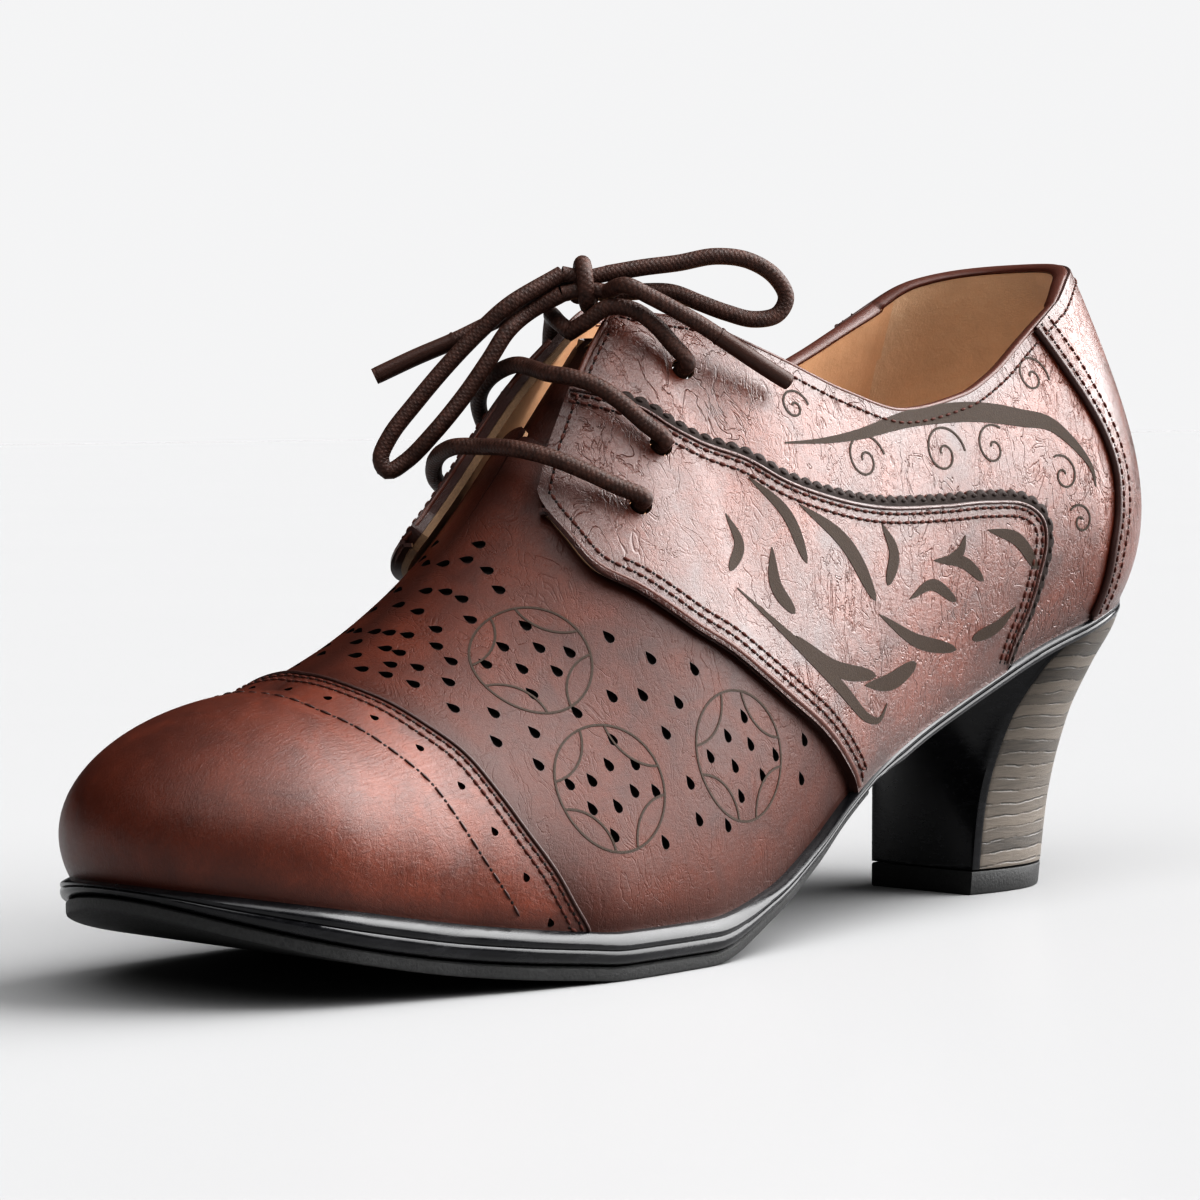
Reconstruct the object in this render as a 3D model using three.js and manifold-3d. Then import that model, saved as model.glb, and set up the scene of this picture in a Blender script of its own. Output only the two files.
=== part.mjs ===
// Women's block-heeled lace-up shoe, left foot, EU 38.
// Millimetres, +Z up, floor at z = 0, toe toward -Y, outer side of the foot at +X.
import * as THREE from "three";
import { mergeVertices } from "three/addons/utils/BufferGeometryUtils.js";
import Module from "manifold-3d";

const wasm = await Module();
wasm.setup();

// Driving sizes
const LENGTH = 242;
const BALL = 80;
const COLLAR = 124;
const CLEARANCE = 0.3;
const WALL = 2;
const OVERLAY = 0.9;
const PANEL = 1.7;
const INSOLE_THICK = 2.2;
const TONGUE_THICK = 1.9;
const LACE = 3;
const EYELET = 4.2;
const LIFT = 4.6;
const WRAP = 1.8;

// Shape-preserving cubic through the rows of a table
function curve(xs, ys) {
  const n = xs.length;
  const h = xs.slice(1).map((x, i) => x - xs[i]);
  const slope = h.map((step, i) => (ys[i + 1] - ys[i]) / step);
  const m = new Array(n).fill(0);
  for (let i = 1; i < n - 1; i++) {
    if (slope[i - 1] * slope[i] <= 0) continue;
    const a = 2 * h[i] + h[i - 1];
    const b = h[i] + 2 * h[i - 1];
    m[i] = (a + b) / (a / slope[i - 1] + b / slope[i]);
  }
  m[0] = slope[0];
  m[n - 1] = slope[n - 2];
  return (x) => {
    const at = Math.min(Math.max(x, xs[0]), xs[n - 1]);
    let i = 0;
    while (i < n - 2 && at > xs[i + 1]) i++;
    const t = (at - xs[i]) / h[i];
    const t2 = t * t;
    const t3 = t2 * t;
    const start = (2 * t3 - 3 * t2 + 1) * ys[i] + (t3 - 2 * t2 + t) * h[i] * m[i];
    const end = (3 * t2 - 2 * t3) * ys[i + 1] + (t3 - t2) * h[i] * m[i + 1];
    return start + end;
  };
}

// One curve per column, with its own unit
function columns(rows, units) {
  const xs = rows.map((row) => row[0] * units[0]);
  return units.slice(1).map((unit, k) => curve(xs, rows.map((row) => row[k + 1] * unit)));
}

const mix = (a, b, t) => a + (b - a) * t;

// Cross sections of the shoe at stations along its length, seen from behind.
// along and the widths lean, outer, inner, bulge, reach and rim are shares;
// rise, top and drop are shares of the collar height.
const SECTIONS = [
  // along, lean, outer, inner, bulge, rise, reach, drop, rim, top
  [-0.349, -0.056, 0.419, 0.419, 0.085, 0.121, 0.275, 0, 0, 0.385],
  [-0.264, -0.052, 0.49, 0.429, 0.065, 0.145, 0.225, 0, 0, 0.468],
  [-0.186, -0.047, 0.522, 0.413, 0.052, 0.177, 0.2, 0, 0, 0.581],
  [-0.149, -0.044, 0.519, 0.396, 0.048, 0.202, 0.2, 0.004, 0.002, 0.657],
  [-0.103, -0.04, 0.509, 0.372, 0.046, 0.242, 0.2, 0.016, 0.006, 0.766],
  [-0.066, -0.037, 0.491, 0.346, 0.042, 0.274, 0.2, 0.024, 0.019, 0.847],
  [-0.033, -0.035, 0.472, 0.321, 0.04, 0.29, 0.212, 0.04, 0.038, 0.907],
  [0.041, -0.028, 0.421, 0.285, 0.044, 0.29, 0.3, 0.081, 0.075, 0.96],
  [0.124, -0.019, 0.375, 0.275, 0.062, 0.258, 0.338, 0.129, 0.1, 0.984],
  [0.207, -0.01, 0.348, 0.29, 0.075, 0.226, 0.363, 0.194, 0.125, 1.0],
  [0.289, -0.003, 0.346, 0.328, 0.088, 0.177, 0.388, 0.258, 0.163, 1.024],
  [0.372, 0, 0.363, 0.363, 0.107, 0.14, 0.4, 0.306, 0.2, 1.05],
];
const UNITS = [LENGTH, BALL, BALL, BALL, BALL, COLLAR, BALL, COLLAR, BALL, COLLAR];
const [LEAN, OUTER, INNER, BULGE, RISE, REACH, DROP, RIM, TOP] = columns(SECTIONS, UNITS);
const TOE_CENTRE = SECTIONS[0][0] * LENGTH;
const HEEL_CENTRE = SECTIONS[SECTIONS.length - 1][0] * LENGTH;
const TOE_REACH = 0.425 * BALL;
const HEEL_REACH = 0.372 * BALL;
const TOE_BULGE = 0.098 * BALL;
const HEEL_BULGE = 0.122 * BALL;

// The line where upper meets sole, and the underside of the sole, by height
const SOLE_LINES = [
  // along, feather, underside
  [-0.505, 0.166, 0.13],
  [-0.463, 0.152, 0.095],
  [-0.393, 0.126, 0.055],
  [-0.314, 0.097, 0.025],
  [-0.231, 0.075, 0.006],
  [-0.196, 0.068, 0],
  [-0.107, 0.067, 0],
  [-0.033, 0.092, 0.046],
  [0.033, 0.147, 0.109],
  [0.074, 0.196, 0.163],
  [0.136, 0.26, 0.23],
  [0.207, 0.316, 0.287],
  [0.273, 0.366, 0.337],
  [0.339, 0.413, 0.384],
  [0.417, 0.455, 0.426],
  [0.475, 0.474, 0.445],
  [0.508, 0.48, 0.451],
];
const [feather, underside] = columns(SOLE_LINES, [LENGTH, COLLAR, COLLAR]);

// Height of the collar edge on each side
const COLLAR_LINE = [
  // along, outer side, inner side
  [-0.07, 0.925, 0.925],
  [-0.041, 0.91, 0.91],
  [-0.017, 0.899, 0.905],
  [0.009, 0.891, 0.9],
  [0.029, 0.868, 0.88],
  [0.066, 0.832, 0.85],
  [0.117, 0.787, 0.815],
  [0.174, 0.758, 0.795],
  [0.241, 0.779, 0.82],
  [0.282, 0.813, 0.85],
  [0.324, 0.864, 0.888],
  [0.365, 0.914, 0.926],
  [0.405, 0.965, 0.968],
  [0.455, 0.99, 0.99],
  [0.53, 1.0, 1.0],
];
const COLLAR_EDGE = columns(COLLAR_LINE, [LENGTH, COLLAR, COLLAR]);

// A rib of the form: u runs 0 to 1 round the toe, 1 to 2 along the foot, 2 to 3 round the heel
function rib(side, u) {
  const toe = u < 1;
  const heel = u > 2;
  const y = toe ? TOE_CENTRE : heel ? HEEL_CENTRE : mix(TOE_CENTRE, HEEL_CENTRE, u - 1);
  const halfWidth = side > 0 ? OUTER(y) : INNER(y);
  let across = side;
  let forward = 0;
  let reach = halfWidth;
  let bulge = BULGE(y);
  if (toe || heel) {
    const angle = (toe ? 1 - u : u - 2) * Math.PI / 2;
    across = side * Math.cos(angle);
    forward = Math.sin(angle) * (toe ? -1 : 1);
    const share = Math.sin(angle) ** 2;
    reach = mix(halfWidth, toe ? TOE_REACH : HEEL_REACH, share);
    bulge = mix(bulge, toe ? TOE_BULGE : HEEL_BULGE, share);
  }
  return { x: LEAN(y), y, across, forward, reach, bulge };
}

// A point of the plain form; v runs 0 at the sole to 1 at the ridge
function plainPoint(side, u, v) {
  const r = rib(side, u);
  const base = feather(r.y + r.forward * r.reach);
  const top = TOP(r.y);
  const w = 1 - v;
  const b0 = w * w * w;
  const b1 = 3 * v * w * w;
  const b2 = 3 * v * v * w;
  const b3 = v * v * v;
  const out = b0 * r.reach + b1 * (r.reach + r.bulge) + b2 * REACH(r.y) + b3 * RIM(r.y);
  const z = b0 * base + b1 * (base + RISE(r.y)) + b2 * (top - DROP(r.y)) + b3 * top;
  return new THREE.Vector3(r.x + r.across * out, r.y + r.forward * out, z);
}

// A point of the outer form: the plain one, averaged where the round toe runs into the foot
const BLEND_REACH = 12;
const BLEND_SPAN = 24;
const BLEND_STEPS = 4;
const TOE_RUN = 45;
const FOOT_RUN = HEEL_CENTRE - TOE_CENTRE;
function formPoint(side, u, v) {
  const away = (u - 1) * (u < 1 ? TOE_RUN : FOOT_RUN);
  const half = BLEND_REACH * (1 - Math.abs(away) / BLEND_SPAN);
  if (half <= 0) return plainPoint(side, u, v);
  const sum = new THREE.Vector3();
  for (let k = -BLEND_STEPS; k <= BLEND_STEPS; k++) {
    const at = away + (half * k) / BLEND_STEPS;
    sum.add(plainPoint(side, 1 + at / (at < 0 ? TOE_RUN : FOOT_RUN), v));
  }
  return sum.divideScalar(2 * BLEND_STEPS + 1);
}

// Outward normal of the form, level across the ridge
function formNormal(side, u, v) {
  const step = 0.004;
  const u0 = Math.max(u - step, 0);
  const u1 = Math.min(u + step, 3);
  const v0 = Math.max(v - step, 0);
  const v1 = Math.min(v + step, 1);
  const along = formPoint(side, u1, v).sub(formPoint(side, u0, v));
  const up = formPoint(side, u, v1).sub(formPoint(side, u, v0));
  const normal = along.cross(up).multiplyScalar(side).normalize();
  if (u <= 0 || u >= 3) normal.x = 0;
  const level = THREE.MathUtils.smoothstep(v, 0.8, 1);
  if (u < 2 && level > 0) {
    const y = rib(side, u).y;
    const ridge = new THREE.Vector3(0, (TOP(y) - TOP(y + step)) / step, 1).normalize();
    normal.lerp(ridge, level);
  }
  return normal.normalize();
}

// How far the loose front edge of each flap stands off the tongue
const FLARE_OUTER = 1;
const FLARE_INNER = 3;
const FLARE_HALF = 0.2 * BALL;
const FLARE_END = 0.42 * BALL;
function flare(side, point) {
  const across = Math.abs(point.x - LEAN(point.y));
  const sideways = 1 - THREE.MathUtils.smoothstep(across, FLARE_HALF, FLARE_END);
  const along = 1 - THREE.MathUtils.smoothstep(point.y, -0.1 * LENGTH, -0.02 * LENGTH);
  return (side > 0 ? FLARE_OUTER : FLARE_INNER) * sideways * along;
}

function offsetPoint(side, u, v, offset, flared) {
  const p = formPoint(side, u, v);
  const extra = flared ? flare(side, p) : 0;
  return p.addScaledVector(formNormal(side, u, v), offset + extra);
}

// Stations round the shoe: the outer side from toe to heel, then the inner side back
const ROUND = 7;
const STRAIGHT = 22;
const STATIONS = [];
for (let i = 0; i < ROUND; i++) STATIONS.push(i / ROUND);
for (let i = 0; i < STRAIGHT; i++) STATIONS.push(1 + i / STRAIGHT);
for (let i = 0; i <= ROUND; i++) STATIONS.push(2 + i / ROUND);
const LAST = STATIONS.length - 1;
const LOOP = STATIONS.map((u) => ({ side: 1, u }));
for (let i = LAST - 1; i > 0; i--) LOOP.push({ side: -1, u: STATIONS[i] });

// A closed body from rings that each hold one point per station of the loop
function stack(rings) {
  const n = LOOP.length;
  const positions = [];
  rings.forEach((ring) => ring.forEach((p) => positions.push(p.x, p.y, p.z)));
  const index = [];
  for (let k = 0; k < rings.length - 1; k++) {
    for (let i = 0; i < n; i++) {
      const j = (i + 1) % n;
      const a = k * n + i;
      const b = k * n + j;
      index.push(a, b, b + n, a, b + n, a + n);
    }
  }
  const lid = (start, flip) => {
    const twin = (i) => start + ((n - i) % n);
    for (let i = 0; i < LAST; i++) {
      const quad = [start + i, start + i + 1, twin(i + 1), twin(i)];
      const faces = [[quad[0], quad[1], quad[2]], [quad[0], quad[2], quad[3]]];
      faces.forEach(([a, b, c]) => {
        if (a === b || b === c || a === c) return;
        index.push(...(flip ? [a, c, b] : [a, b, c]));
      });
    }
  };
  lid(0, true);
  lid((rings.length - 1) * n, false);
  const geometry = new THREE.BufferGeometry();
  geometry.setAttribute("position", new THREE.Float32BufferAttribute(positions, 3));
  geometry.setIndex(index);
  return geometry;
}

function solid(geometry) {
  const bare = geometry.clone();
  bare.deleteAttribute("normal");
  bare.deleteAttribute("uv");
  const merged = mergeVertices(bare, 1e-3);
  const made = new wasm.Manifold(new wasm.Mesh({
    numProp: 3,
    vertProperties: new Float32Array(merged.attributes.position.array),
    triVerts: new Uint32Array(merged.index.array),
  }));
  if (made.volume() > 0) return made;
  const turned = new Uint32Array(merged.index.array);
  for (let i = 0; i < turned.length; i += 3) [turned[i + 1], turned[i + 2]] = [turned[i + 2], turned[i + 1]];
  return new wasm.Manifold(new wasm.Mesh({
    numProp: 3,
    vertProperties: new Float32Array(merged.attributes.position.array),
    triVerts: turned,
  }));
}

// The whole form grown or shrunk by an offset, with a skirt below the sole line
const LEVELS = 9;
const SKIRT = 9;
function form(offset, flared = false) {
  const rings = [];
  for (let k = 0; k <= LEVELS; k++) {
    rings.push(LOOP.map(({ side, u }) => offsetPoint(side, u, k / LEVELS, offset, flared)));
  }
  rings.unshift(rings[0].map((p) => new THREE.Vector3(p.x, p.y, p.z - SKIRT)));
  return solid(stack(rings));
}

// A prism through the shoe from a side-view outline of along and height
const HALF_SPAN = 70;
function sidePrism(outline, from = -HALF_SPAN, to = HALF_SPAN) {
  const shape = new THREE.Shape(outline.map(([y, z]) => new THREE.Vector2(y, z)));
  const geometry = new THREE.ExtrudeGeometry(shape, { depth: to - from, bevelEnabled: false });
  geometry.applyMatrix4(new THREE.Matrix4().set(0, 0, 1, from, 1, 0, 0, 0, 0, 1, 0, 0, 0, 0, 0, 1));
  return solid(geometry);
}

// A prism standing upright from a plan outline
function planPrism(outline, from, to) {
  const shape = new THREE.Shape(outline.map(([x, y]) => new THREE.Vector2(x, y)));
  const geometry = new THREE.ExtrudeGeometry(shape, { depth: to - from, bevelEnabled: false });
  geometry.translate(0, 0, from);
  return solid(geometry);
}

// A smooth open line through side-view shares
function seam(rows, count) {
  const path = new THREE.CatmullRomCurve3(
    rows.map(([y, z]) => new THREE.Vector3(y * LENGTH, z * COLLAR, 0)), false, "centripetal",
  );
  return path.getSpacedPoints(count).map((p) => [p.x, p.y]);
}

const FRONT = -LENGTH;
const BACK = LENGTH;
const ABOVE = COLLAR * 1.5;
const BELOW = -COLLAR * 0.2;
const SAMPLES = 30;
const sampleLine = (height, from, to, count) => {
  const line = [];
  for (let i = 0; i <= count; i++) {
    const y = mix(from, to, i / count);
    line.push([y, height(y)]);
  }
  return line;
};

// The seams, front to back, as shares of length and collar height
const CAP_SEAM = [
  [-0.336, 0.46], [-0.33, 0.413], [-0.317, 0.384], [-0.306, 0.354], [-0.291, 0.314],
  [-0.28, 0.262], [-0.268, 0.21], [-0.251, 0.155], [-0.238, 0.11], [-0.224, 0.07], [-0.216, 0.03],
];
const FLAP_OUTER = [
  [-0.02, 1.05], [-0.045, 0.91], [-0.065, 0.865], [-0.095, 0.793], [-0.117, 0.736],
  [-0.135, 0.681], [-0.147, 0.635], [-0.145, 0.588], [-0.138, 0.546],
];
const FLAP_INNER = [
  [-0.02, 1.05], [-0.055, 0.91], [-0.095, 0.85], [-0.13, 0.77], [-0.158, 0.69],
  [-0.177, 0.62], [-0.18, 0.56], [-0.155, 0.525],
];
const QUARTER_FRONT = [
  [-0.115, 0.515], [-0.094, 0.483], [-0.078, 0.459], [-0.053, 0.43], [-0.027, 0.394],
  [0.004, 0.351], [0.04, 0.305], [0.066, 0.261], [0.086, 0.215], [0.09, 0.15],
];
const PANEL_TOP = [
  [-0.22, 0.86], [-0.105, 0.8], [-0.063, 0.765], [-0.048, 0.738], [-0.027, 0.714], [0.004, 0.692],
  [0.035, 0.658], [0.081, 0.631], [0.128, 0.617], [0.195, 0.616], [0.246, 0.62], [0.288, 0.614],
  [0.306, 0.59], [0.309, 0.553], [0.303, 0.507], [0.293, 0.447], [0.282, 0.402], [0.275, 0.34],
];
const BACK_STRIP = [
  [0.315, 0.96], [0.334, 0.899], [0.35, 0.847], [0.37, 0.781], [0.388, 0.718], [0.397, 0.66],
  [0.395, 0.596], [0.389, 0.542], [0.386, 0.484], [0.381, 0.437], [0.375, 0.38],
];

const capRegion = sidePrism([[FRONT, BELOW], ...seam(CAP_SEAM, 16).reverse(), [FRONT, 0.46 * COLLAR]]);
const quarterSide = (flap, from, to) => sidePrism([
  ...seam([...flap, ...QUARTER_FRONT], 28), [0.09 * LENGTH, BELOW], [BACK, BELOW], [BACK, ABOVE], [-0.02 * LENGTH, ABOVE],
], from, to);
const quarterRegion = quarterSide(FLAP_OUTER, 0, HALF_SPAN).add(quarterSide(FLAP_INNER, -HALF_SPAN, 0));
const panelRegion = sidePrism([...seam(PANEL_TOP, 26), [0.275 * LENGTH, BELOW], [FRONT, BELOW], [FRONT, 0.86 * COLLAR]]);
const stripRegion = sidePrism([...seam(BACK_STRIP, 12), [0.375 * LENGTH, BELOW], [BACK, BELOW], [BACK, ABOVE], [0.315 * LENGTH, ABOVE]]);

const featherLine = sampleLine(feather, -0.56 * LENGTH, 0.56 * LENGTH, SAMPLES);
const belowFeather = sidePrism([...featherLine, [BACK, BELOW], [FRONT, BELOW]]);
const collarCut = (height, from, to) => {
  const line = sampleLine(height, -0.07 * LENGTH, 0.56 * LENGTH, 24);
  return sidePrism([...line, [BACK, ABOVE], [-0.07 * LENGTH, ABOVE]].reverse(), from, to);
};
const aboveCollar = collarCut(COLLAR_EDGE[0], 0, HALF_SPAN).add(collarCut(COLLAR_EDGE[1], -HALF_SPAN, 0));

// The throat between the two flaps, in plan
const THROAT = [
  // across as a share of ball width, along as a share of length
  [0.01, 0.04], [0.013, -0.043], [0.025, -0.07], [0.05, -0.105], [0.066, -0.125],
  [0.09, -0.142], [0.1, -0.16], [0.06, -0.2], [-0.12, -0.215], [-0.18, -0.19],
  [-0.19, -0.165], [-0.165, -0.135], [-0.135, -0.105], [-0.11, -0.07], [-0.1, -0.045], [-0.1, 0.04],
];
const plan = (rows, from, to) => planPrism(rows.map(([x, y]) => [x * BALL, y * LENGTH]), from, to);
const throat = plan(THROAT, 0.3 * COLLAR, ABOVE);

// The cut-back edge of the vamp under the flaps, in plan
const VAMP_EDGE = [
  [0.24, 0.03], [0.24, -0.08], [0.2, -0.108], [0.1, -0.122], [-0.04, -0.126],
  [-0.18, -0.122], [-0.28, -0.108], [-0.32, -0.08], [-0.32, 0.03],
];
const vampOpening = plan(VAMP_EDGE, 0.4 * COLLAR, ABOVE);

// The point of the form on one side at a station along and a height
function surfaceAt(side, y, height) {
  const u = 1 + (y - TOE_CENTRE) / (HEEL_CENTRE - TOE_CENTRE);
  let low = 0.2;
  let high = 1;
  for (let i = 0; i < 30; i++) {
    const v = (low + high) / 2;
    if (formPoint(side, u, v).z < height) low = v;
    else high = v;
  }
  return { point: formPoint(side, u, low), normal: formNormal(side, u, low) };
}

// The point of the form above a plan position
function surfaceOver(x, y) {
  const side = x > LEAN(y) ? 1 : -1;
  const u = 1 + (y - TOE_CENTRE) / (HEEL_CENTRE - TOE_CENTRE);
  let low = 0.3;
  let high = 1;
  for (let i = 0; i < 30; i++) {
    const v = (low + high) / 2;
    if (Math.abs(formPoint(side, u, v).x - LEAN(y)) > Math.abs(x - LEAN(y))) low = v;
    else high = v;
  }
  return { point: formPoint(side, u, low), normal: formNormal(side, u, low) };
}

// Eyelets, lowest first
const EYELETS = [
  // along, height
  [-0.089, 0.622],
  [-0.058, 0.704],
  [-0.017, 0.816],
];
const DRILL_REACH = 14;
const eyeletAt = (side, k) => surfaceAt(side, EYELETS[k][0] * LENGTH, EYELETS[k][1] * COLLAR);
function eyeletDrill(side, k) {
  const { point, normal } = eyeletAt(side, k);
  const turn = new THREE.Quaternion().setFromUnitVectors(new THREE.Vector3(0, 1, 0), normal);
  const drill = new THREE.CylinderGeometry(EYELET / 2, EYELET / 2, DRILL_REACH, 16);
  return solid(drill.applyQuaternion(turn).translate(point.x, point.y, point.z));
}

// Upper: base form with its overlays, hollowed and opened at collar, throat and sole
const inside = form(-WALL);
const vamp = form(0).add(form(OVERLAY).intersect(capRegion)).subtract(inside).subtract(vampOpening);
let quarters = form(OVERLAY, true).intersect(quarterRegion);
quarters = quarters.add(form(PANEL, true).intersect(quarterRegion).intersect(panelRegion));
quarters = quarters.add(form(PANEL, true).intersect(stripRegion));
quarters = quarters.subtract(form(-WALL, true)).subtract(throat);
let upper = vamp.add(quarters).subtract(aboveCollar).subtract(belowFeather);
for (const side of [1, -1]) {
  for (let k = 0; k < EYELETS.length; k++) upper = upper.subtract(eyeletDrill(side, k));
}

// Tongue: a strip under the flaps, from under the vamp's edge to just below the upper eyelets
const TONGUE = [
  // across, along
  [0.16, -0.19], [0.215, -0.16], [0.225, -0.12], [0.215, -0.09], [0.18, -0.068], [0.1, -0.054],
  [-0.02, -0.05], [-0.14, -0.053], [-0.23, -0.066], [-0.285, -0.088], [-0.31, -0.12], [-0.295, -0.155], [-0.24, -0.19],
];
const tongueRegion = planPrism(TONGUE.map(([x, y]) => [x * BALL, y * LENGTH]), 0.3 * COLLAR, 0.96 * COLLAR);
const tongue = form(-WALL - CLEARANCE).subtract(form(-WALL - CLEARANCE - TONGUE_THICK)).intersect(tongueRegion);

// Outline of the sole grown outward by an amount, at a height
function outlinePoint(side, u, grow, height) {
  const step = 0.01;
  const p = formPoint(side, u, 0);
  const ahead = formPoint(side, Math.min(u + step, 3), 0);
  const behind = formPoint(side, Math.max(u - step, 0), 0);
  const normal = new THREE.Vector3(ahead.y - behind.y, behind.x - ahead.x, 0).multiplyScalar(side).normalize();
  if (u <= 0 || u >= 3) normal.set(0, u <= 0 ? -1 : 1, 0);
  return new THREE.Vector3(p.x + normal.x * grow, p.y + normal.y * grow, height(p.y + normal.y * grow));
}

// How far the sole edge stands out past the upper
const [EDGE] = columns([
  [-0.5, 0.03], [-0.3, 0.034], [-0.1, 0.033], [0.05, 0.028], [0.2, 0.024], [0.35, 0.02], [0.5, 0.018],
], [LENGTH, BALL]);
const edgeOf = (side, u) => EDGE(formPoint(side, u, 0).y);

// A sole layer between two heights with an edge rounded above and below
function soleLayer(inset, upperHeight, lowerHeight, round) {
  const rows = [
    [-round, 0, 1], [-round * 0.3, -round * 0.3, 1], [0, -round, 1],
    [0, round, 0], [-round * 0.3, round * 0.3, 0], [-round, 0, 0],
  ];
  const rings = rows.map(([grow, rise, top]) => LOOP.map(({ side, u }) => {
    const height = (y) => (top ? upperHeight(y) : lowerHeight(y)) + rise;
    return outlinePoint(side, u, edgeOf(side, u) - inset + grow, height);
  }));
  return solid(stack(rings.reverse()));
}
const [TREAD] = columns([
  [-0.5, 0.019], [-0.2, 0.02], [0, 0.015], [0.12, 0.0085], [0.5, 0.0085],
], [LENGTH, COLLAR]);
const TREAD_END = 0.11 * LENGTH;
const TREAD_BLEND = 0.15 * LENGTH;
const treadTop = (y) => underside(y) + TREAD(y);
const randUnder = (y) => {
  const share = THREE.MathUtils.clamp((TREAD_BLEND - y) / (TREAD_BLEND - TREAD_END), 0, 1);
  return underside(y) + share * (TREAD(y) + CLEARANCE);
};
const SEAT_GAP = 0.4;
const rand = soleLayer(0, (y) => feather(y) - SEAT_GAP, randUnder, 1.1);
const treadRegion = sidePrism([[FRONT, BELOW], [TREAD_END - CLEARANCE, BELOW], [TREAD_END - CLEARANCE, ABOVE], [FRONT, ABOVE]]);
const outsole = soleLayer(0.9, treadTop, underside, 0.5).intersect(treadRegion);

// Insole inside the foot of the upper
const insoleRings = [feather, (y) => feather(y) + INSOLE_THICK].map((height) => LOOP.map(({ side, u }) => (
  outlinePoint(side, u, -WALL - 2 * CLEARANCE, height)
)));
const insole = solid(stack(insoleRings));

// Heel sections by height
const HEEL_SECTIONS = [
  // height, corner along, middle along, corner half width, widest along, half width, back
  [0, 0.315, 0.318, 0.156, 0.366, 0.175, 0.437],
  [0.14, 0.321, 0.315, 0.168, 0.37, 0.196, 0.445],
  [0.27, 0.337, 0.303, 0.207, 0.376, 0.244, 0.46],
  [0.355, 0.36, 0.28, 0.264, 0.388, 0.3, 0.474],
  [0.42, 0.387, 0.245, 0.33, 0.4, 0.347, 0.488],
  [0.49, 0.4, 0.2, 0.365, 0.406, 0.375, 0.498],
];
const HEEL_UNITS = [COLLAR, LENGTH, LENGTH, BALL, LENGTH, BALL, LENGTH];
const [CORNER, MIDDLE, CORNER_HALF, WIDEST, HALF, REAR] = columns(HEEL_SECTIONS, HEEL_UNITS);
const HEEL_LEVELS = 6;
const HEEL_FRONT = 4;
const HEEL_SIDE = 3;
const HEEL_REAR = 6;

// Half of a heel section, from the middle of the breast round to the middle of the back
function heelHalf(z, inset) {
  const half = [];
  for (let i = 0; i <= HEEL_FRONT; i++) {
    const s = i / HEEL_FRONT;
    half.push([(CORNER_HALF(z) - inset) * s, mix(MIDDLE(z), CORNER(z), s * s)]);
  }
  for (let i = 1; i <= HEEL_SIDE; i++) {
    const s = i / HEEL_SIDE;
    const widen = 1 - (1 - s) ** 2;
    half.push([mix(CORNER_HALF(z), HALF(z), widen) - inset, mix(CORNER(z), WIDEST(z), s)]);
  }
  for (let i = 1; i <= HEEL_REAR; i++) {
    const angle = i / HEEL_REAR * Math.PI / 2;
    half.push([(HALF(z) - inset) * Math.cos(angle), mix(WIDEST(z), REAR(z) - inset, Math.sin(angle))]);
  }
  return half;
}
function heelForm(from, to, inset, levels) {
  const rings = [];
  for (let k = 0; k <= levels; k++) {
    const z = mix(from, to, k / levels);
    const half = heelHalf(z, inset);
    const ring = half.map(([x, y]) => new THREE.Vector3(x, y, z));
    for (let i = half.length - 2; i > 0; i--) ring.push(new THREE.Vector3(-half[i][0], half[i][1], z));
    rings.push(ring);
  }
  const n = rings[0].length;
  const positions = [];
  rings.forEach((ring) => ring.forEach((p) => positions.push(p.x, p.y, p.z)));
  const index = [];
  for (let k = 0; k < levels; k++) {
    for (let i = 0; i < n; i++) {
      const a = k * n + i;
      const b = k * n + (i + 1) % n;
      index.push(a, b, b + n, a, b + n, a + n);
    }
  }
  const mid = n / 2;
  for (const [start, flip] of [[0, true], [levels * n, false]]) {
    for (let i = 0; i < mid; i++) {
      const twin = (j) => start + (n - j) % n;
      const quad = [start + i, start + i + 1, twin(i + 1), twin(i)];
      for (const [a, b, c] of [[quad[0], quad[1], quad[2]], [quad[0], quad[2], quad[3]]]) {
        if (a !== b && b !== c && a !== c) index.push(...(flip ? [a, c, b] : [a, b, c]));
      }
    }
  }
  const geometry = new THREE.BufferGeometry();
  geometry.setAttribute("position", new THREE.Float32BufferAttribute(positions, 3));
  geometry.setIndex(index);
  return solid(geometry);
}
const undersideLine = sampleLine((y) => underside(y) - CLEARANCE, -0.1 * LENGTH, 0.56 * LENGTH, 40);
const aboveSeat = sidePrism([...undersideLine, [BACK, ABOVE], [-0.1 * LENGTH, ABOVE]]);
const HEEL_TOP = 0.49 * COLLAR;
const heelBase = LIFT + CLEARANCE;
const EDGE_BAND = 1.5;
const PAST_TOP = 4;
const wrapEdge = (shift) => sampleLine((z) => CORNER(z) + EDGE_BAND + shift, 0, HEEL_TOP, 16).map(([z, y]) => [y, z]);
const behindEdge = (shift) => sidePrism([...wrapEdge(shift), [BACK, HEEL_TOP + PAST_TOP], [BACK, BELOW]]);
const heelOuter = heelForm(heelBase, HEEL_TOP, 0, HEEL_LEVELS);
const heelCore = heelForm(heelBase, HEEL_TOP, WRAP + CLEARANCE, HEEL_LEVELS);
const heelWrap = heelOuter.subtract(heelForm(heelBase, HEEL_TOP, WRAP, HEEL_LEVELS))
  .intersect(behindEdge(CLEARANCE)).subtract(aboveSeat);
const heelBlock = heelOuter.subtract(behindEdge(0)).add(heelCore).subtract(aboveSeat);
const topLift = heelForm(0, LIFT, 0, 1);

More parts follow.
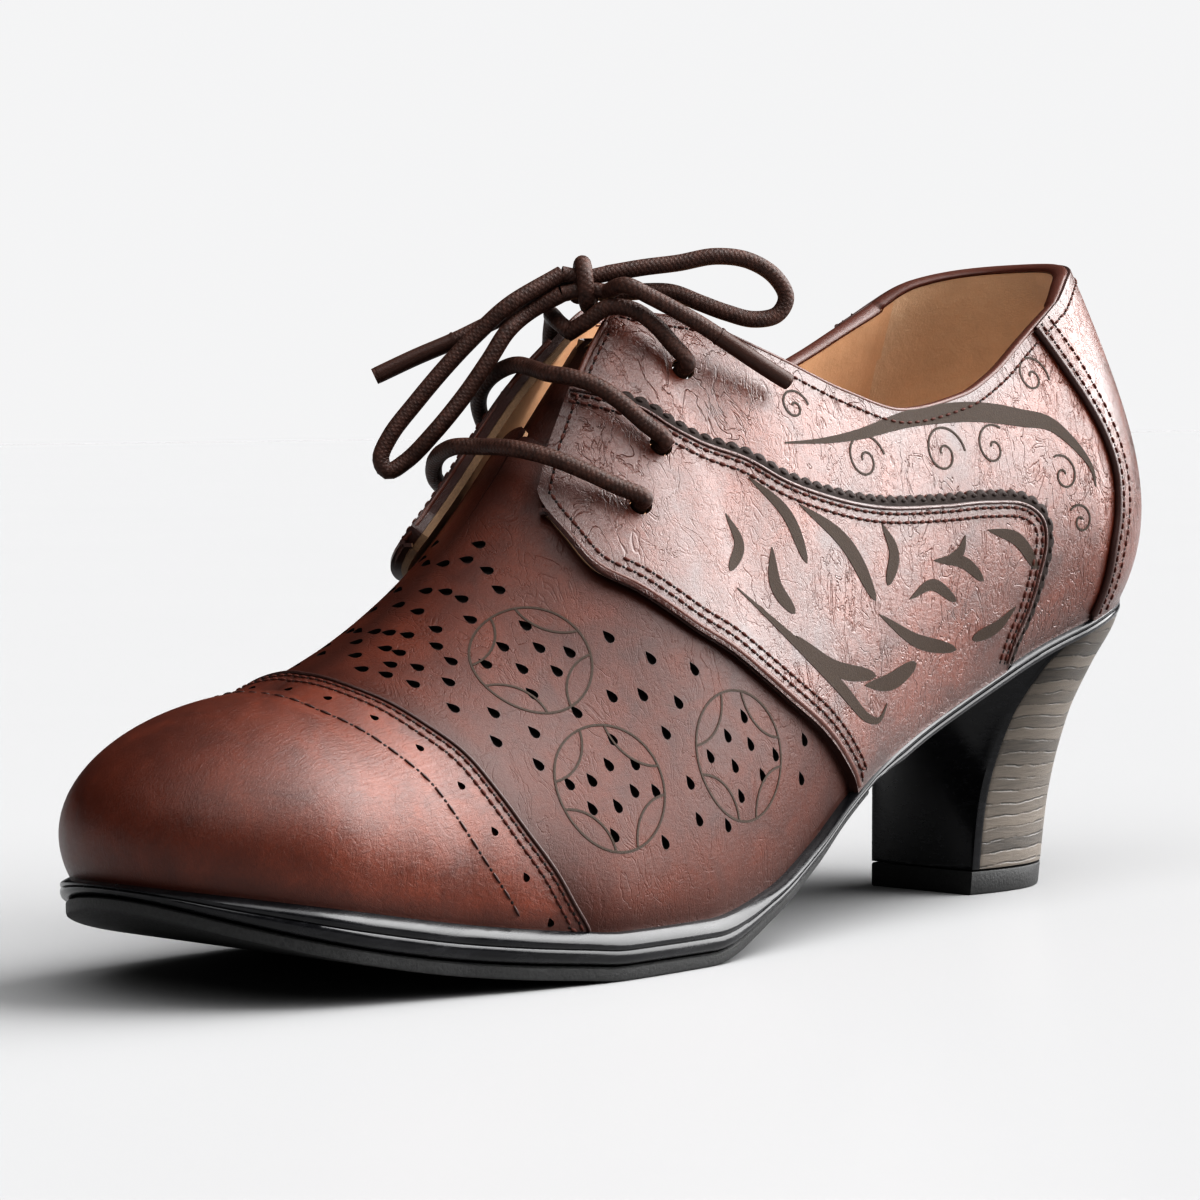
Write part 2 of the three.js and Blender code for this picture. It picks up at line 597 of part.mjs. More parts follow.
// Laces: round cord along a smooth path
const CORD_SIDES = 8;
function cord(points, steps) {
  const path = new THREE.CatmullRomCurve3(points, false, "centripetal");
  const ring = new THREE.Shape();
  for (let i = 0; i < CORD_SIDES; i++) {
    const angle = (i + 0.5) / CORD_SIDES * Math.PI * 2;
    ring[i ? "lineTo" : "moveTo"](Math.cos(angle) * LACE / 2, Math.sin(angle) * LACE / 2);
  }
  return solid(new THREE.ExtrudeGeometry(ring, { steps, extrudePath: path, bevelEnabled: false }));
}
// A lace path in shares of ball width, length and collar height
const route = (rows) => rows.map(([x, y, z]) => new THREE.Vector3(x * BALL, y * LENGTH, z * COLLAR));
// The same with its first or last point set just above an eyelet
const CORD_REST = LACE / 2 + 0.7;
function aboveEyelet(side, k) {
  const { point, normal } = eyeletAt(side, k);
  const extra = flare(side, point);
  const raised = k < 2 ? PANEL : OVERLAY;
  return point.addScaledVector(normal, CORD_REST + raised + extra);
}
const barLower = cord([aboveEyelet(1, 0), ...route([
  [0.238, -0.112, 0.655], [0.195, -0.131, 0.677], [0.135, -0.147, 0.697], [0.06, -0.157, 0.709],
  [-0.05, -0.154, 0.712], [-0.125, -0.158, 0.712], [-0.215, -0.148, 0.696], [-0.28, -0.13, 0.668],
]), aboveEyelet(-1, 0)], 18);
const barMiddle = cord([aboveEyelet(1, 1), ...route([
  [0.213, -0.075, 0.742], [0.178, -0.086, 0.77], [0.135, -0.096, 0.794], [0.08, -0.105, 0.808],
  [0.01, -0.106, 0.814], [-0.06, -0.098, 0.822], [-0.12, -0.097, 0.828], [-0.175, -0.1, 0.816],
  [-0.225, -0.098, 0.795], [-0.27, -0.087, 0.766],
]), aboveEyelet(-1, 1)], 20);

// The knot: a turn of cord round the crossing of the two strands
const KNOT = new THREE.Vector3(-0.025 * BALL, -0.056 * LENGTH, 0.942 * COLLAR);
const KNOT_TURN = Math.PI / 4;
const KNOT_RADIUS = 3.3;
function knotBody() {
  const ring = new THREE.TorusGeometry(KNOT_RADIUS, LACE / 2, 8, 16).rotateY(Math.PI / 2).scale(1, 0.88, 1.12);
  const core = new THREE.SphereGeometry(1, 10, 6).scale(3.6, 2.6, 3.2);
  const matrix = new THREE.Matrix4().makeRotationZ(KNOT_TURN).setPosition(KNOT);
  return solid(ring.applyMatrix4(matrix)).add(solid(core.applyMatrix4(matrix)));
}
const knot = knotBody();
// Where a strand leaves the knot: along the bow, toward the toe side, and up
const KNOT_EXIT = 4;
function knotExit(way, outward, rise) {
  const local = new THREE.Vector3(way * KNOT_EXIT, -outward, rise);
  return local.applyAxisAngle(new THREE.Vector3(0, 0, 1), KNOT_TURN).add(KNOT);
}
const loopRight = cord([knotExit(1, -0.5, 1.9), ...route([
  [0.06, -0.022, 0.966], [0.11, -0.002, 0.972], [0.165, 0.018, 0.981],
  [0.212, 0.037, 0.975], [0.25, 0.052, 0.952], [0.263, 0.06, 0.921], [0.25, 0.055, 0.897],
  [0.222, 0.039, 0.89], [0.186, 0.022, 0.9], [0.145, 0.009, 0.914], [0.095, -0.004, 0.93],
  [0.05, -0.017, 0.932],
]), knotExit(1, -2.2, -1.7)], 26);
const endRight = cord([knotExit(1, 1.9, -1.4), ...route([
  [0.106, -0.056, 0.938], [0.145, -0.045, 0.922], [0.18, -0.031, 0.903],
  [0.215, -0.014, 0.88], [0.247, 0.004, 0.854], [0.275, 0.024, 0.827], [0.3, 0.048, 0.799],
])], 12);
const loopLeft = cord([knotExit(-1, 1.5, -1.7), ...route([
  [-0.1, -0.088, 0.904], [-0.115, -0.106, 0.876], [-0.138, -0.118, 0.835],
  [-0.175, -0.131, 0.786], [-0.217, -0.149, 0.733], [-0.275, -0.16, 0.692], [-0.3, -0.171, 0.678],
  [-0.312, -0.174, 0.695], [-0.3, -0.168, 0.728], [-0.263, -0.153, 0.776], [-0.212, -0.134, 0.833],
  [-0.163, -0.117, 0.879], [-0.113, -0.104, 0.914],
]), knotExit(-1, 0.6, 1.9)], 26);
const endLeft = cord([knotExit(-1, -2.6, 0.2), ...route([
  [-0.15, -0.073, 0.915], [-0.2, -0.098, 0.888], [-0.25, -0.118, 0.864],
  [-0.312, -0.138, 0.841], [-0.375, -0.16, 0.814],
])], 8);

// The two strands from the top eyelets, drawn up under the knot
const tieNear = cord([aboveEyelet(1, 2), ...route([
  [0.16, -0.028, 0.856], [0.13, -0.036, 0.884], [0.092, -0.045, 0.904], [0.045, -0.055, 0.908],
  [0, -0.063, 0.888], [-0.045, -0.067, 0.872],
])], 12);
const tieFar = cord([aboveEyelet(-1, 2), ...route([
  [-0.2, -0.034, 0.868], [-0.16, -0.045, 0.895], [-0.115, -0.06, 0.9], [-0.075, -0.066, 0.888],
  [-0.035, -0.067, 0.874],
])], 12);
const tie = tieNear.add(tieFar);

const root = new THREE.Group();
root.name = "block_heel_lace_up_shoe";
// Puts the origin under the middle of the whole shoe
root.position.set(0.2, -2.4, 0);
const COLOURS = {
  leather: 0x8a5a4c, lining: 0xc8a579, gloss: 0x151515, stack: 0x8d8175, rubber: 0x1c1c1c, cord: 0x3b2a25,
};
const TIDY = 0.02;
function addNode(name, made, colour) {
  const data = made.simplify(TIDY).getMesh();
  const geometry = new THREE.BufferGeometry();
  geometry.setAttribute("position", new THREE.BufferAttribute(data.vertProperties, 3));
  geometry.setIndex(new THREE.BufferAttribute(data.triVerts, 1));
  const flat = geometry.toNonIndexed();
  flat.computeVertexNormals();
  const mesh = new THREE.Mesh(flat, new THREE.MeshStandardMaterial({ color: colour, side: THREE.DoubleSide }));
  mesh.name = name;
  root.add(mesh);
}
addNode("upper", upper, COLOURS.leather);
addNode("tongue", tongue, COLOURS.leather);
addNode("insole", insole, COLOURS.lining);
addNode("sole_rand", rand, COLOURS.gloss);
addNode("outsole", outsole, COLOURS.rubber);
addNode("heel_block", heelBlock, COLOURS.gloss);
addNode("heel_wrap", heelWrap, COLOURS.stack);
addNode("top_lift", topLift, COLOURS.rubber);
addNode("lace_bar_lower", barLower, COLOURS.cord);
addNode("lace_bar_middle", barMiddle, COLOURS.cord);
addNode("lace_tie", tie, COLOURS.cord);
addNode("lace_knot", knot, COLOURS.cord);
addNode("lace_loop_right", loopRight, COLOURS.cord);
addNode("lace_loop_left", loopLeft, COLOURS.cord);
addNode("lace_end_right", endRight, COLOURS.cord);
addNode("lace_end_left", endLeft, COLOURS.cord);

export default root;
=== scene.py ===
import math

import bmesh
import bpy
import numpy as np
from mathutils import Matrix, Vector
from mathutils.kdtree import KDTree


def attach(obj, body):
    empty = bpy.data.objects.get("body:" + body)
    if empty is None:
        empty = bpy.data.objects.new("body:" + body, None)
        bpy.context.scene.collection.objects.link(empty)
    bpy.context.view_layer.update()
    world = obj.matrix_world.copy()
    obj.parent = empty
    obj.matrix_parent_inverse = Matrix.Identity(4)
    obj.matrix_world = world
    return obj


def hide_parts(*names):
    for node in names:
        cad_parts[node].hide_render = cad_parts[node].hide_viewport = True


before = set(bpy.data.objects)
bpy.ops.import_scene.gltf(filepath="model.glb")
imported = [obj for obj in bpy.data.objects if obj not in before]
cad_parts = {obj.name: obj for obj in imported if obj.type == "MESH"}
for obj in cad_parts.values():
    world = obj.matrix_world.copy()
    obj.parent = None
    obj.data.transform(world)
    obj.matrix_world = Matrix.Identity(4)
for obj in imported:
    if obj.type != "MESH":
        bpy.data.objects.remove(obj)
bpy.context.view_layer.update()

bl_info = {
    "name": "Block heel lace-up shoe",
    "version": (1, 0, 0),
    "blender": (4, 5, 0),
    "location": "3D View > Sidebar > Shoe",
    "description": "Dresses the shoe's frame with leather, sole, heel and laces",
    "category": "Object",
}

# Driving sizes in millimetres, as in the part
LENGTH = 242.0
BALL = 80.0
COLLAR = 124.0
WALL = 2.0
OVERLAY = 0.9
PANEL = 1.7
LACE = 3.0
EYELET = 4.2
LIFT = 4.6
WRAP = 1.8
ORIGIN_SHIFT = np.array((0.2, -2.4, 0.0))
MM = 0.001


# Curves and sections ---------------------------------------------------------

def curve(xs, ys):
    """Shape-preserving cubic through the rows of a table."""
    xs, ys = np.array(xs, float), np.array(ys, float)
    h = np.diff(xs)
    slope = np.diff(ys) / h
    m = np.zeros(len(xs))
    for i in range(1, len(xs) - 1):
        if slope[i - 1] * slope[i] > 0:
            a, b = 2 * h[i] + h[i - 1], h[i] + 2 * h[i - 1]
            m[i] = (a + b) / (a / slope[i - 1] + b / slope[i])
    m[0], m[-1] = slope[0], slope[-1]

    def at(x):
        x = np.clip(x, xs[0], xs[-1])
        i = np.clip(np.searchsorted(xs, x) - 1, 0, len(xs) - 2)
        t = (x - xs[i]) / h[i]
        start = (2 * t**3 - 3 * t**2 + 1) * ys[i] + (t**3 - 2 * t**2 + t) * h[i] * m[i]
        return start + (3 * t**2 - 2 * t**3) * ys[i + 1] + (t**3 - t**2) * h[i] * m[i + 1]
    return at


def columns(rows, units):
    """One curve per column of a table, each with its own unit."""
    rows = np.array(rows) * np.array(units)
    return [curve(rows[:, 0], rows[:, k]) for k in range(1, rows.shape[1])]


SECTIONS = [
    # along, lean, outer, inner, bulge, rise, reach, drop, rim, top
    [-0.349, -0.056, 0.419, 0.419, 0.085, 0.121, 0.275, 0, 0, 0.385],
    [-0.264, -0.052, 0.49, 0.429, 0.065, 0.145, 0.225, 0, 0, 0.468],
    [-0.186, -0.047, 0.522, 0.413, 0.052, 0.177, 0.2, 0, 0, 0.581],
    [-0.149, -0.044, 0.519, 0.396, 0.048, 0.202, 0.2, 0.004, 0.002, 0.657],
    [-0.103, -0.04, 0.509, 0.372, 0.046, 0.242, 0.2, 0.016, 0.006, 0.766],
    [-0.066, -0.037, 0.491, 0.346, 0.042, 0.274, 0.2, 0.024, 0.019, 0.847],
    [-0.033, -0.035, 0.472, 0.321, 0.04, 0.29, 0.212, 0.04, 0.038, 0.907],
    [0.041, -0.028, 0.421, 0.285, 0.044, 0.29, 0.3, 0.081, 0.075, 0.96],
    [0.124, -0.019, 0.375, 0.275, 0.062, 0.258, 0.338, 0.129, 0.1, 0.984],
    [0.207, -0.01, 0.348, 0.29, 0.075, 0.226, 0.363, 0.194, 0.125, 1.0],
    [0.289, -0.003, 0.346, 0.328, 0.088, 0.177, 0.388, 0.258, 0.163, 1.024],
    [0.372, 0, 0.363, 0.363, 0.107, 0.14, 0.4, 0.306, 0.2, 1.05],
]
UNITS = [LENGTH, BALL, BALL, BALL, BALL, COLLAR, BALL, COLLAR, BALL, COLLAR]
LEAN, OUTER, INNER, BULGE, RISE, REACH, DROP, RIM, TOP = columns(SECTIONS, UNITS)
TOE_CENTRE = SECTIONS[0][0] * LENGTH
HEEL_CENTRE = SECTIONS[-1][0] * LENGTH
TOE_REACH, HEEL_REACH = 0.425 * BALL, 0.372 * BALL
TOE_BULGE, HEEL_BULGE = 0.098 * BALL, 0.122 * BALL

FEATHER, UNDERSIDE = columns([
    # along, feather, underside
    [-0.505, 0.166, 0.13], [-0.463, 0.152, 0.095], [-0.393, 0.126, 0.055], [-0.314, 0.097, 0.025],
    [-0.231, 0.075, 0.006], [-0.196, 0.068, 0], [-0.107, 0.067, 0], [-0.033, 0.092, 0.046],
    [0.033, 0.147, 0.109], [0.074, 0.196, 0.163], [0.136, 0.26, 0.23], [0.207, 0.316, 0.287],
    [0.273, 0.366, 0.337], [0.339, 0.413, 0.384], [0.417, 0.455, 0.426], [0.475, 0.474, 0.445],
    [0.508, 0.48, 0.451],
], [LENGTH, COLLAR, COLLAR])

COLLAR_OUTER, COLLAR_INNER = columns([
    # along, outer side, inner side
    [-0.07, 0.925, 0.925], [-0.041, 0.91, 0.91], [-0.017, 0.899, 0.905], [0.009, 0.891, 0.9],
    [0.029, 0.868, 0.88], [0.066, 0.832, 0.85], [0.117, 0.787, 0.815], [0.174, 0.758, 0.795],
    [0.241, 0.779, 0.82], [0.282, 0.813, 0.85], [0.324, 0.864, 0.888], [0.365, 0.914, 0.926],
    [0.405, 0.965, 0.968], [0.455, 0.99, 0.99], [0.53, 1.0, 1.0],
], [LENGTH, COLLAR, COLLAR])


def smoothstep(x, low, high):
    t = np.clip((x - low) / (high - low), 0, 1)
    return t * t * (3 - 2 * t)


def plain_point(s, v):
    """A point of the plain form; s is the station from the toe, negative on the inner side."""
    side = np.where(s >= 0, 1.0, -1.0)
    u = np.abs(s)
    toe, heel = u < 1, u > 2
    y = np.where(toe, TOE_CENTRE, np.where(heel, HEEL_CENTRE, TOE_CENTRE + (HEEL_CENTRE - TOE_CENTRE) * (u - 1)))
    half = np.where(side > 0, OUTER(y), INNER(y))
    angle = np.where(toe, 1 - u, np.where(heel, u - 2, 0)) * math.pi / 2
    share = np.sin(angle) ** 2
    reach = half + (np.where(toe, TOE_REACH, HEEL_REACH) - half) * share
    bulge = BULGE(y) + (np.where(toe, TOE_BULGE, HEEL_BULGE) - BULGE(y)) * share
    across, forward = side * np.cos(angle), np.sin(angle) * np.where(toe, -1, 1)
    base, top, w = FEATHER(y + forward * reach), TOP(y), 1 - v
    b0, b1, b2, b3 = w**3, 3 * v * w * w, 3 * v * v * w, v**3
    out = b0 * reach + b1 * (reach + bulge) + b2 * REACH(y) + b3 * RIM(y)
    z = b0 * base + b1 * (base + RISE(y)) + b2 * (top - DROP(y)) + b3 * top
    return np.stack([LEAN(y) + across * out, y + forward * out, z], -1)


BLEND_REACH, BLEND_SPAN = 12.0, 24.0
TOE_RUN, FOOT_RUN = 45.0, HEEL_CENTRE - TOE_CENTRE


def wrapped(s, v):
    """Shares past the ridge go down the other side."""
    s, v = np.broadcast_arrays(np.asarray(s, float), np.asarray(v, float))
    return np.where(v > 1, -s, s), np.where(v > 1, 2 - v, v)


def form_point(s, v):
    """A point of the outer form: the plain one, averaged where the round toe runs into the foot."""
    s, v = wrapped(s, v)
    u = np.abs(s)
    away = (u - 1) * np.where(u < 1, TOE_RUN, FOOT_RUN)
    half = BLEND_REACH * (1 - np.abs(away) / BLEND_SPAN)
    p = plain_point(s, v)
    near = half > 0
    if near.any():
        side, away, half, v = np.where(s[near] >= 0, 1.0, -1.0), away[near], half[near], v[near]
        total = 0
        for k in np.linspace(-1, 1, 9):
            at = away + half * k
            total = total + plain_point(side * (1 + at / np.where(at < 0, TOE_RUN, FOOT_RUN)), v)
        p[near] = total / 9
    return p


def unit(a):
    return a / np.maximum(np.linalg.norm(a, axis=-1, keepdims=True), 1e-12)


def form_normal(s, v):
    """Outward normal of the form, level across the ridge."""
    s, v = wrapped(s, v)
    side, u, step = np.where(s >= 0, 1.0, -1.0), np.abs(s), 0.004
    along = form_point(side * np.clip(u + step, 0, 3), v) - form_point(side * np.clip(u - step, 0, 3), v)
    up = form_point(s, np.clip(v + step, 0, 1)) - form_point(s, np.clip(v - step, 0, 1))
    normal = unit(np.cross(along, up) * side[..., None])
    normal[..., 0] = np.where((u < step) | (u > 3 - step), 0, normal[..., 0])
    y = TOE_CENTRE + (HEEL_CENTRE - TOE_CENTRE) * np.clip(u - 1, 0, 1)
    ridge = unit(np.stack([0 * y, (TOP(y) - TOP(y + step)) / step, 0 * y + 1], -1))
    level = np.where(u < 2, smoothstep(v, 0.8, 1), 0)[..., None]
    return unit(unit(normal) * (1 - level) + ridge * level)


FLARE_OUTER, FLARE_INNER = 1.0, 3.0


def flare(s, p):
    """How far the loose front edge of each flap stands off the tongue."""
    sideways = 1 - smoothstep(np.abs(p[..., 0] - LEAN(p[..., 1])), 0.2 * BALL, 0.42 * BALL)
    along = 1 - smoothstep(p[..., 1], -0.1 * LENGTH, -0.02 * LENGTH)
    return np.where(np.asarray(s) >= 0, FLARE_OUTER, FLARE_INNER) * sideways * along


def skin(s, v, offset=0.0, flared=False):
    """A point at an offset from the form."""
    s, v = wrapped(s, v)
    p = form_point(s, v)
    lift = offset + flare(s, p) if flared else offset + 0 * p[..., 0]
    return p + form_normal(s, v) * lift[..., None]


def station(along):
    """The station of a share of the length on the straight part of the form."""
    return 1 + (np.asarray(along, float) * LENGTH - TOE_CENTRE) / (HEEL_CENTRE - TOE_CENTRE)


def spline(points, count):
    """Evenly spaced points along a centripetal line through the given ones."""
    p = np.array(points, float)
    p = np.vstack([2 * p[0] - p[1], p, 2 * p[-1] - p[-2]])
    dense = []
    for a, b, c, d in zip(p, p[1:], p[2:], p[3:]):
        ta, tb, tc = (max(np.linalg.norm(q), 1e-9) ** 0.5 for q in (b - a, c - b, d - c))
        m1 = ((b - a) / ta - (c - a) / (ta + tb) + (c - b) / tb) * tb
        m2 = ((c - b) / tb - (d - b) / (tb + tc) + (d - c) / tc) * tb
        t = np.linspace(0, 1, 40, endpoint=False)[:, None]
        dense.append(b + m1 * t + (3 * (c - b) - 2 * m1 - m2) * t**2 + (2 * (b - c) + m1 + m2) * t**3)
    dense = np.vstack(dense + [p[-2][None]])
    reach = np.concatenate([[0], np.cumsum(np.linalg.norm(np.diff(dense, axis=0), axis=1))])
    at = np.linspace(0, reach[-1], count)
    return np.stack([np.interp(at, reach, dense[:, k]) for k in range(dense.shape[1])], -1)


def seam(rows, count=400):
    """A side-view seam line in millimetres."""
    return spline(np.array(rows) * [LENGTH, COLLAR], count)


CAP_SEAM = [
    [-0.336, 0.46], [-0.33, 0.413], [-0.317, 0.384], [-0.306, 0.354], [-0.291, 0.314],
    [-0.28, 0.262], [-0.268, 0.21], [-0.251, 0.155], [-0.238, 0.11], [-0.224, 0.07], [-0.216, 0.03],
]
FLAP_OUTER = [
    [-0.02, 1.05], [-0.045, 0.91], [-0.065, 0.865], [-0.095, 0.793], [-0.117, 0.736],
    [-0.135, 0.681], [-0.147, 0.635], [-0.145, 0.588], [-0.138, 0.546],
]
FLAP_INNER = [
    [-0.02, 1.05], [-0.055, 0.91], [-0.095, 0.85], [-0.13, 0.77], [-0.158, 0.69],
    [-0.177, 0.62], [-0.18, 0.56], [-0.155, 0.525],
]
QUARTER_FRONT = [
    [-0.115, 0.515], [-0.094, 0.483], [-0.078, 0.459], [-0.053, 0.43], [-0.027, 0.394],
    [0.004, 0.351], [0.04, 0.305], [0.066, 0.261], [0.086, 0.215], [0.09, 0.15],
]
PANEL_TOP = [
    [-0.22, 0.86], [-0.105, 0.8], [-0.063, 0.765], [-0.048, 0.738], [-0.027, 0.714], [0.004, 0.692],
    [0.035, 0.658], [0.081, 0.631], [0.128, 0.617], [0.195, 0.616], [0.246, 0.62], [0.288, 0.614],
    [0.306, 0.59], [0.309, 0.553], [0.303, 0.507], [0.293, 0.447], [0.282, 0.402], [0.275, 0.34],
]
BACK_STRIP = [
    [0.315, 0.96], [0.334, 0.899], [0.35, 0.847], [0.37, 0.781], [0.388, 0.718], [0.397, 0.66],
    [0.395, 0.596], [0.389, 0.542], [0.386, 0.484], [0.381, 0.437], [0.375, 0.38],
]
# The throat's edges and the vamp's cut-back edge in plan: along as a share of length, across of ball width
THROAT_OUTER = [[-0.16, 0.1], [-0.142, 0.09], [-0.125, 0.066], [-0.105, 0.05], [-0.07, 0.025], [-0.043, 0.013], [0.04, 0.01]]
THROAT_INNER = [[-0.19, -0.18], [-0.165, -0.19], [-0.135, -0.165], [-0.105, -0.135], [-0.07, -0.11], [-0.045, -0.1], [0.04, -0.1]]
VAMP_OUTER = [[-0.126, -0.04], [-0.122, 0.1], [-0.108, 0.2], [-0.08, 0.24], [0.03, 0.24]]
VAMP_INNER = [[-0.126, -0.04], [-0.122, -0.18], [-0.108, -0.28], [-0.08, -0.32], [0.03, -0.32]]


def edge_in_plan(rows):
    rows = np.array(rows)
    return lambda y: np.interp(y, rows[:, 0] * LENGTH, rows[:, 1] * BALL)


def branches(rows, nose):
    """A seam with a turning point, as two heights over the place along: upper and lower."""
    line = seam(rows)
    turn = int(np.argmin(line[:, 0]) if nose == "front" else np.argmax(line[:, 0]))
    first, second = line[:turn + 1], line[turn:]
    ends = []
    for part in (first, second):
        part = part[np.argsort(part[:, 0])]
        ends.append((lambda q: lambda y: np.interp(y, q[:, 0], q[:, 1]))(part))
    return ends[0], ends[1], line[turn, 0]


OUTER_TOP, OUTER_LOW, OUTER_NOSE = branches(FLAP_OUTER + QUARTER_FRONT, "front")
INNER_TOP, INNER_LOW, INNER_NOSE = branches(FLAP_INNER + QUARTER_FRONT, "front")
PANEL_LINE, PANEL_BACK, PANEL_END = branches(PANEL_TOP, "back")
CAP_LINE = seam(CAP_SEAM)[::-1]
STRIP_LINE = seam(BACK_STRIP)[::-1]
THROAT_X = {1: edge_in_plan(THROAT_OUTER), -1: edge_in_plan(THROAT_INNER)}
VAMP_X = {1: edge_in_plan(VAMP_OUTER), -1: edge_in_plan(VAMP_INNER)}


def first_beyond(test):
    """For each row of tests over an even run from 0 to 1, the share where it first turns positive."""
    count = test.shape[1]
    hit = test > 0
    at = np.where(hit.any(1), hit.argmax(1), count - 1)
    before = np.maximum(at - 1, 0)
    rows = np.arange(len(test))
    a, b = test[rows, before], test[rows, at]
    part = np.where(hit.any(1) & (at > 0), np.clip(-a / np.where(b - a == 0, 1, b - a), 0, 1), 1)
    share = (before + part) / (count - 1)
    return np.where(hit.any(1), np.where(at == 0, 0, share), 1)


RUN = np.linspace(0, 1, 240)


def climb(s, test):
    """The share of the way up where a test of the raised skin first turns positive."""
    s = np.asarray(s, float)
    p = skin(s[:, None], RUN[None, :], OVERLAY, True)
    return first_beyond(test(p))


def even_stations(dense, *limits, count=200):
    """Stations spaced evenly along the given edges."""
    lengths = 0
    for v in limits:
        step = np.linalg.norm(np.diff(form_point(dense, v), axis=0), axis=1)
        lengths = lengths + np.concatenate([[0], np.cumsum(step)])
    return np.interp(np.linspace(0, lengths[-1], count), lengths, dense)


def quarter_climb(side, s):
    """Lowest and highest share of the quarter, worked out at its stations."""
    top_line, low_line = (OUTER_TOP, OUTER_LOW) if side > 0 else (INNER_TOP, INNER_LOW)
    collar = COLLAR_OUTER if side > 0 else COLLAR_INNER
    front = 0.0895 * LENGTH
    low = climb(s, lambda p: np.where(p[..., 1] > front, 1, p[..., 2] - low_line(p[..., 1])))

    def over(p):
        x, y, z = p[..., 0], p[..., 1], p[..., 2]
        flap = np.where(y < -0.02 * LENGTH, z - top_line(y), -1)
        throat = np.where(y < 0.04 * LENGTH, side * (THROAT_X[side](y) - x), -1)
        edge = np.where(y > -0.07 * LENGTH, z - collar(y), -1)
        return np.maximum(np.maximum(flap, throat), edge)
    high = climb(s, over)
    return low, np.maximum(high, low)


def quarter_first(side):
    return float(station((OUTER_NOSE if side > 0 else INNER_NOSE) / LENGTH)) + 0.002


QUARTER_RUNS = {}
for side_ in (1, -1):
    run_ = quarter_first(side_) + (3.0 - quarter_first(side_)) * np.linspace(0, 1, 900) ** 1.6
    QUARTER_RUNS[side_] = (run_, *quarter_climb(side_, side_ * run_))


def quarter_limits(side, s):
    """Lowest and highest share of the quarter at its stations."""
    run, low, high = QUARTER_RUNS[side]
    return np.interp(np.abs(s), run, low), np.interp(np.abs(s), run, high)


# Lines on the skin: an edge or seam is a run of stations and shares of the way up

def settle(s, v, wanted, offset, flared=False, keep=(0, 1, 2), rounds=4):
    """Moves stations and shares until the skin lies nearest to the wanted points."""
    keep, step = list(keep), 1e-4
    for _ in range(rounds):
        p = skin(s, v, offset, flared)
        ds = (skin(s + step, v, offset, flared) - p)[:, keep] / step
        dv = (skin(s, v + step, offset, flared) - p)[:, keep] / step
        gap = (wanted - p)[:, keep]
        a, b, c = (ds * ds).sum(1), (ds * dv).sum(1), (dv * dv).sum(1)
        e, f = (ds * gap).sum(1), (dv * gap).sum(1)
        det = np.maximum(a * c - b * b, 1e-6)
        s = s + np.clip((c * e - b * f) / det, -0.05, 0.05)
        v = np.clip(v + np.clip((a * f - b * e) / det, -0.1, 0.1), 0, 2)
    return s, v


def on_side(side, rows, offset, flared=False):
    """Stations and shares of places given along and up in the side view, in millimetres."""
    rows = np.asarray(rows, float)
    s = side * station(rows[:, 0] / LENGTH)
    heights = form_point(s[:, None], RUN[None, :])[..., 2]
    v = np.array([np.interp(z, row[12:], RUN[12:]) for z, row in zip(rows[:, 1], heights)])
    wanted = np.stack([0 * rows[:, 0], rows[:, 0], rows[:, 1]], -1)
    return settle(s, v, wanted, offset, flared, (1, 2))


def shares(rows):
    return np.array(rows) * [LENGTH, COLLAR]


def evened(s, v, offset, flared, count):
    """The same line with places at even distances."""
    p = skin(s, v, offset, flared)
    reach = np.concatenate([[0], np.cumsum(np.linalg.norm(np.diff(p, axis=0), axis=1))])
    at = np.linspace(0, reach[-1], count)
    return np.interp(at, reach, s), np.interp(at, reach, v)


def averaged(rows, reach):
    """Rows smoothed along a run, with the ends as they are."""
    full = np.concatenate([np.repeat(rows[:1], reach, 0), rows, np.repeat(rows[-1:], reach, 0)])
    total = np.concatenate([0 * full[:1], np.cumsum(full, axis=0)])
    smoothed = (total[2 * reach + 1:] - total[:-2 * reach - 1]) / (2 * reach + 1)
    smoothed[0], smoothed[-1] = rows[0], rows[-1]
    return smoothed


def drawn_in(s, v, offset, flared, distance):
    """A line moved across the skin, to the left of its run as seen from outside."""
    s, v = evened(s, v, offset, flared, 260)
    p, out = skin(s, v, offset, flared), form_normal(s, v)
    way = unit(np.cross(out, np.gradient(p, axis=0)))
    way = unit(averaged(way, 2 + int(1.2 * abs(distance))))
    return settle(s, v, averaged(p, 2) + way * distance, offset, flared)


def between(line, first, last):
    """The part of a line between two shares of its run."""
    s, v = line
    n = len(s)
    return s[int(first * n):int(last * n)], v[int(first * n):int(last * n)]


def quarter_edge(side):
    """The quarter's front edge, in two runs: the flap from the collar to its nose, then down to the sole."""
    first, bend = quarter_first(side), np.linspace(0, 1, 200)
    corner = float(station(-0.047 if side > 0 else -0.057))
    up = first + (corner - first) * bend[::-1] ** 2
    down = first + (float(station(0.0885)) - first) * bend ** 2
    return (side * up, quarter_limits(side, up)[1]), (side * down, quarter_limits(side, down)[0])


def collar_edge(side, first=-0.04):
    run = np.linspace(float(station(first)), 3.0, 500)
    return side * run, quarter_limits(side, run)[1]


# Mesh making -----------------------------------------------------------------

def place(points):
    """Millimetres of the form to metres of the frame."""
    return (np.asarray(points, float) + ORIGIN_SHIFT) * MM


def deselect():
    bpy.ops.object.select_all(action="DESELECT")


def choose(obj):
    deselect()
    obj.select_set(True)
    bpy.context.view_layer.objects.active = obj


def apply_modifier(obj, name, kind, **settings):
    """Adds one modifier and applies it."""
    choose(obj)
    modifier = obj.modifiers.new(name, kind)
    for key, value in settings.items():
        setattr(modifier, key, value)
    bpy.ops.object.modifier_apply(modifier=modifier.name)


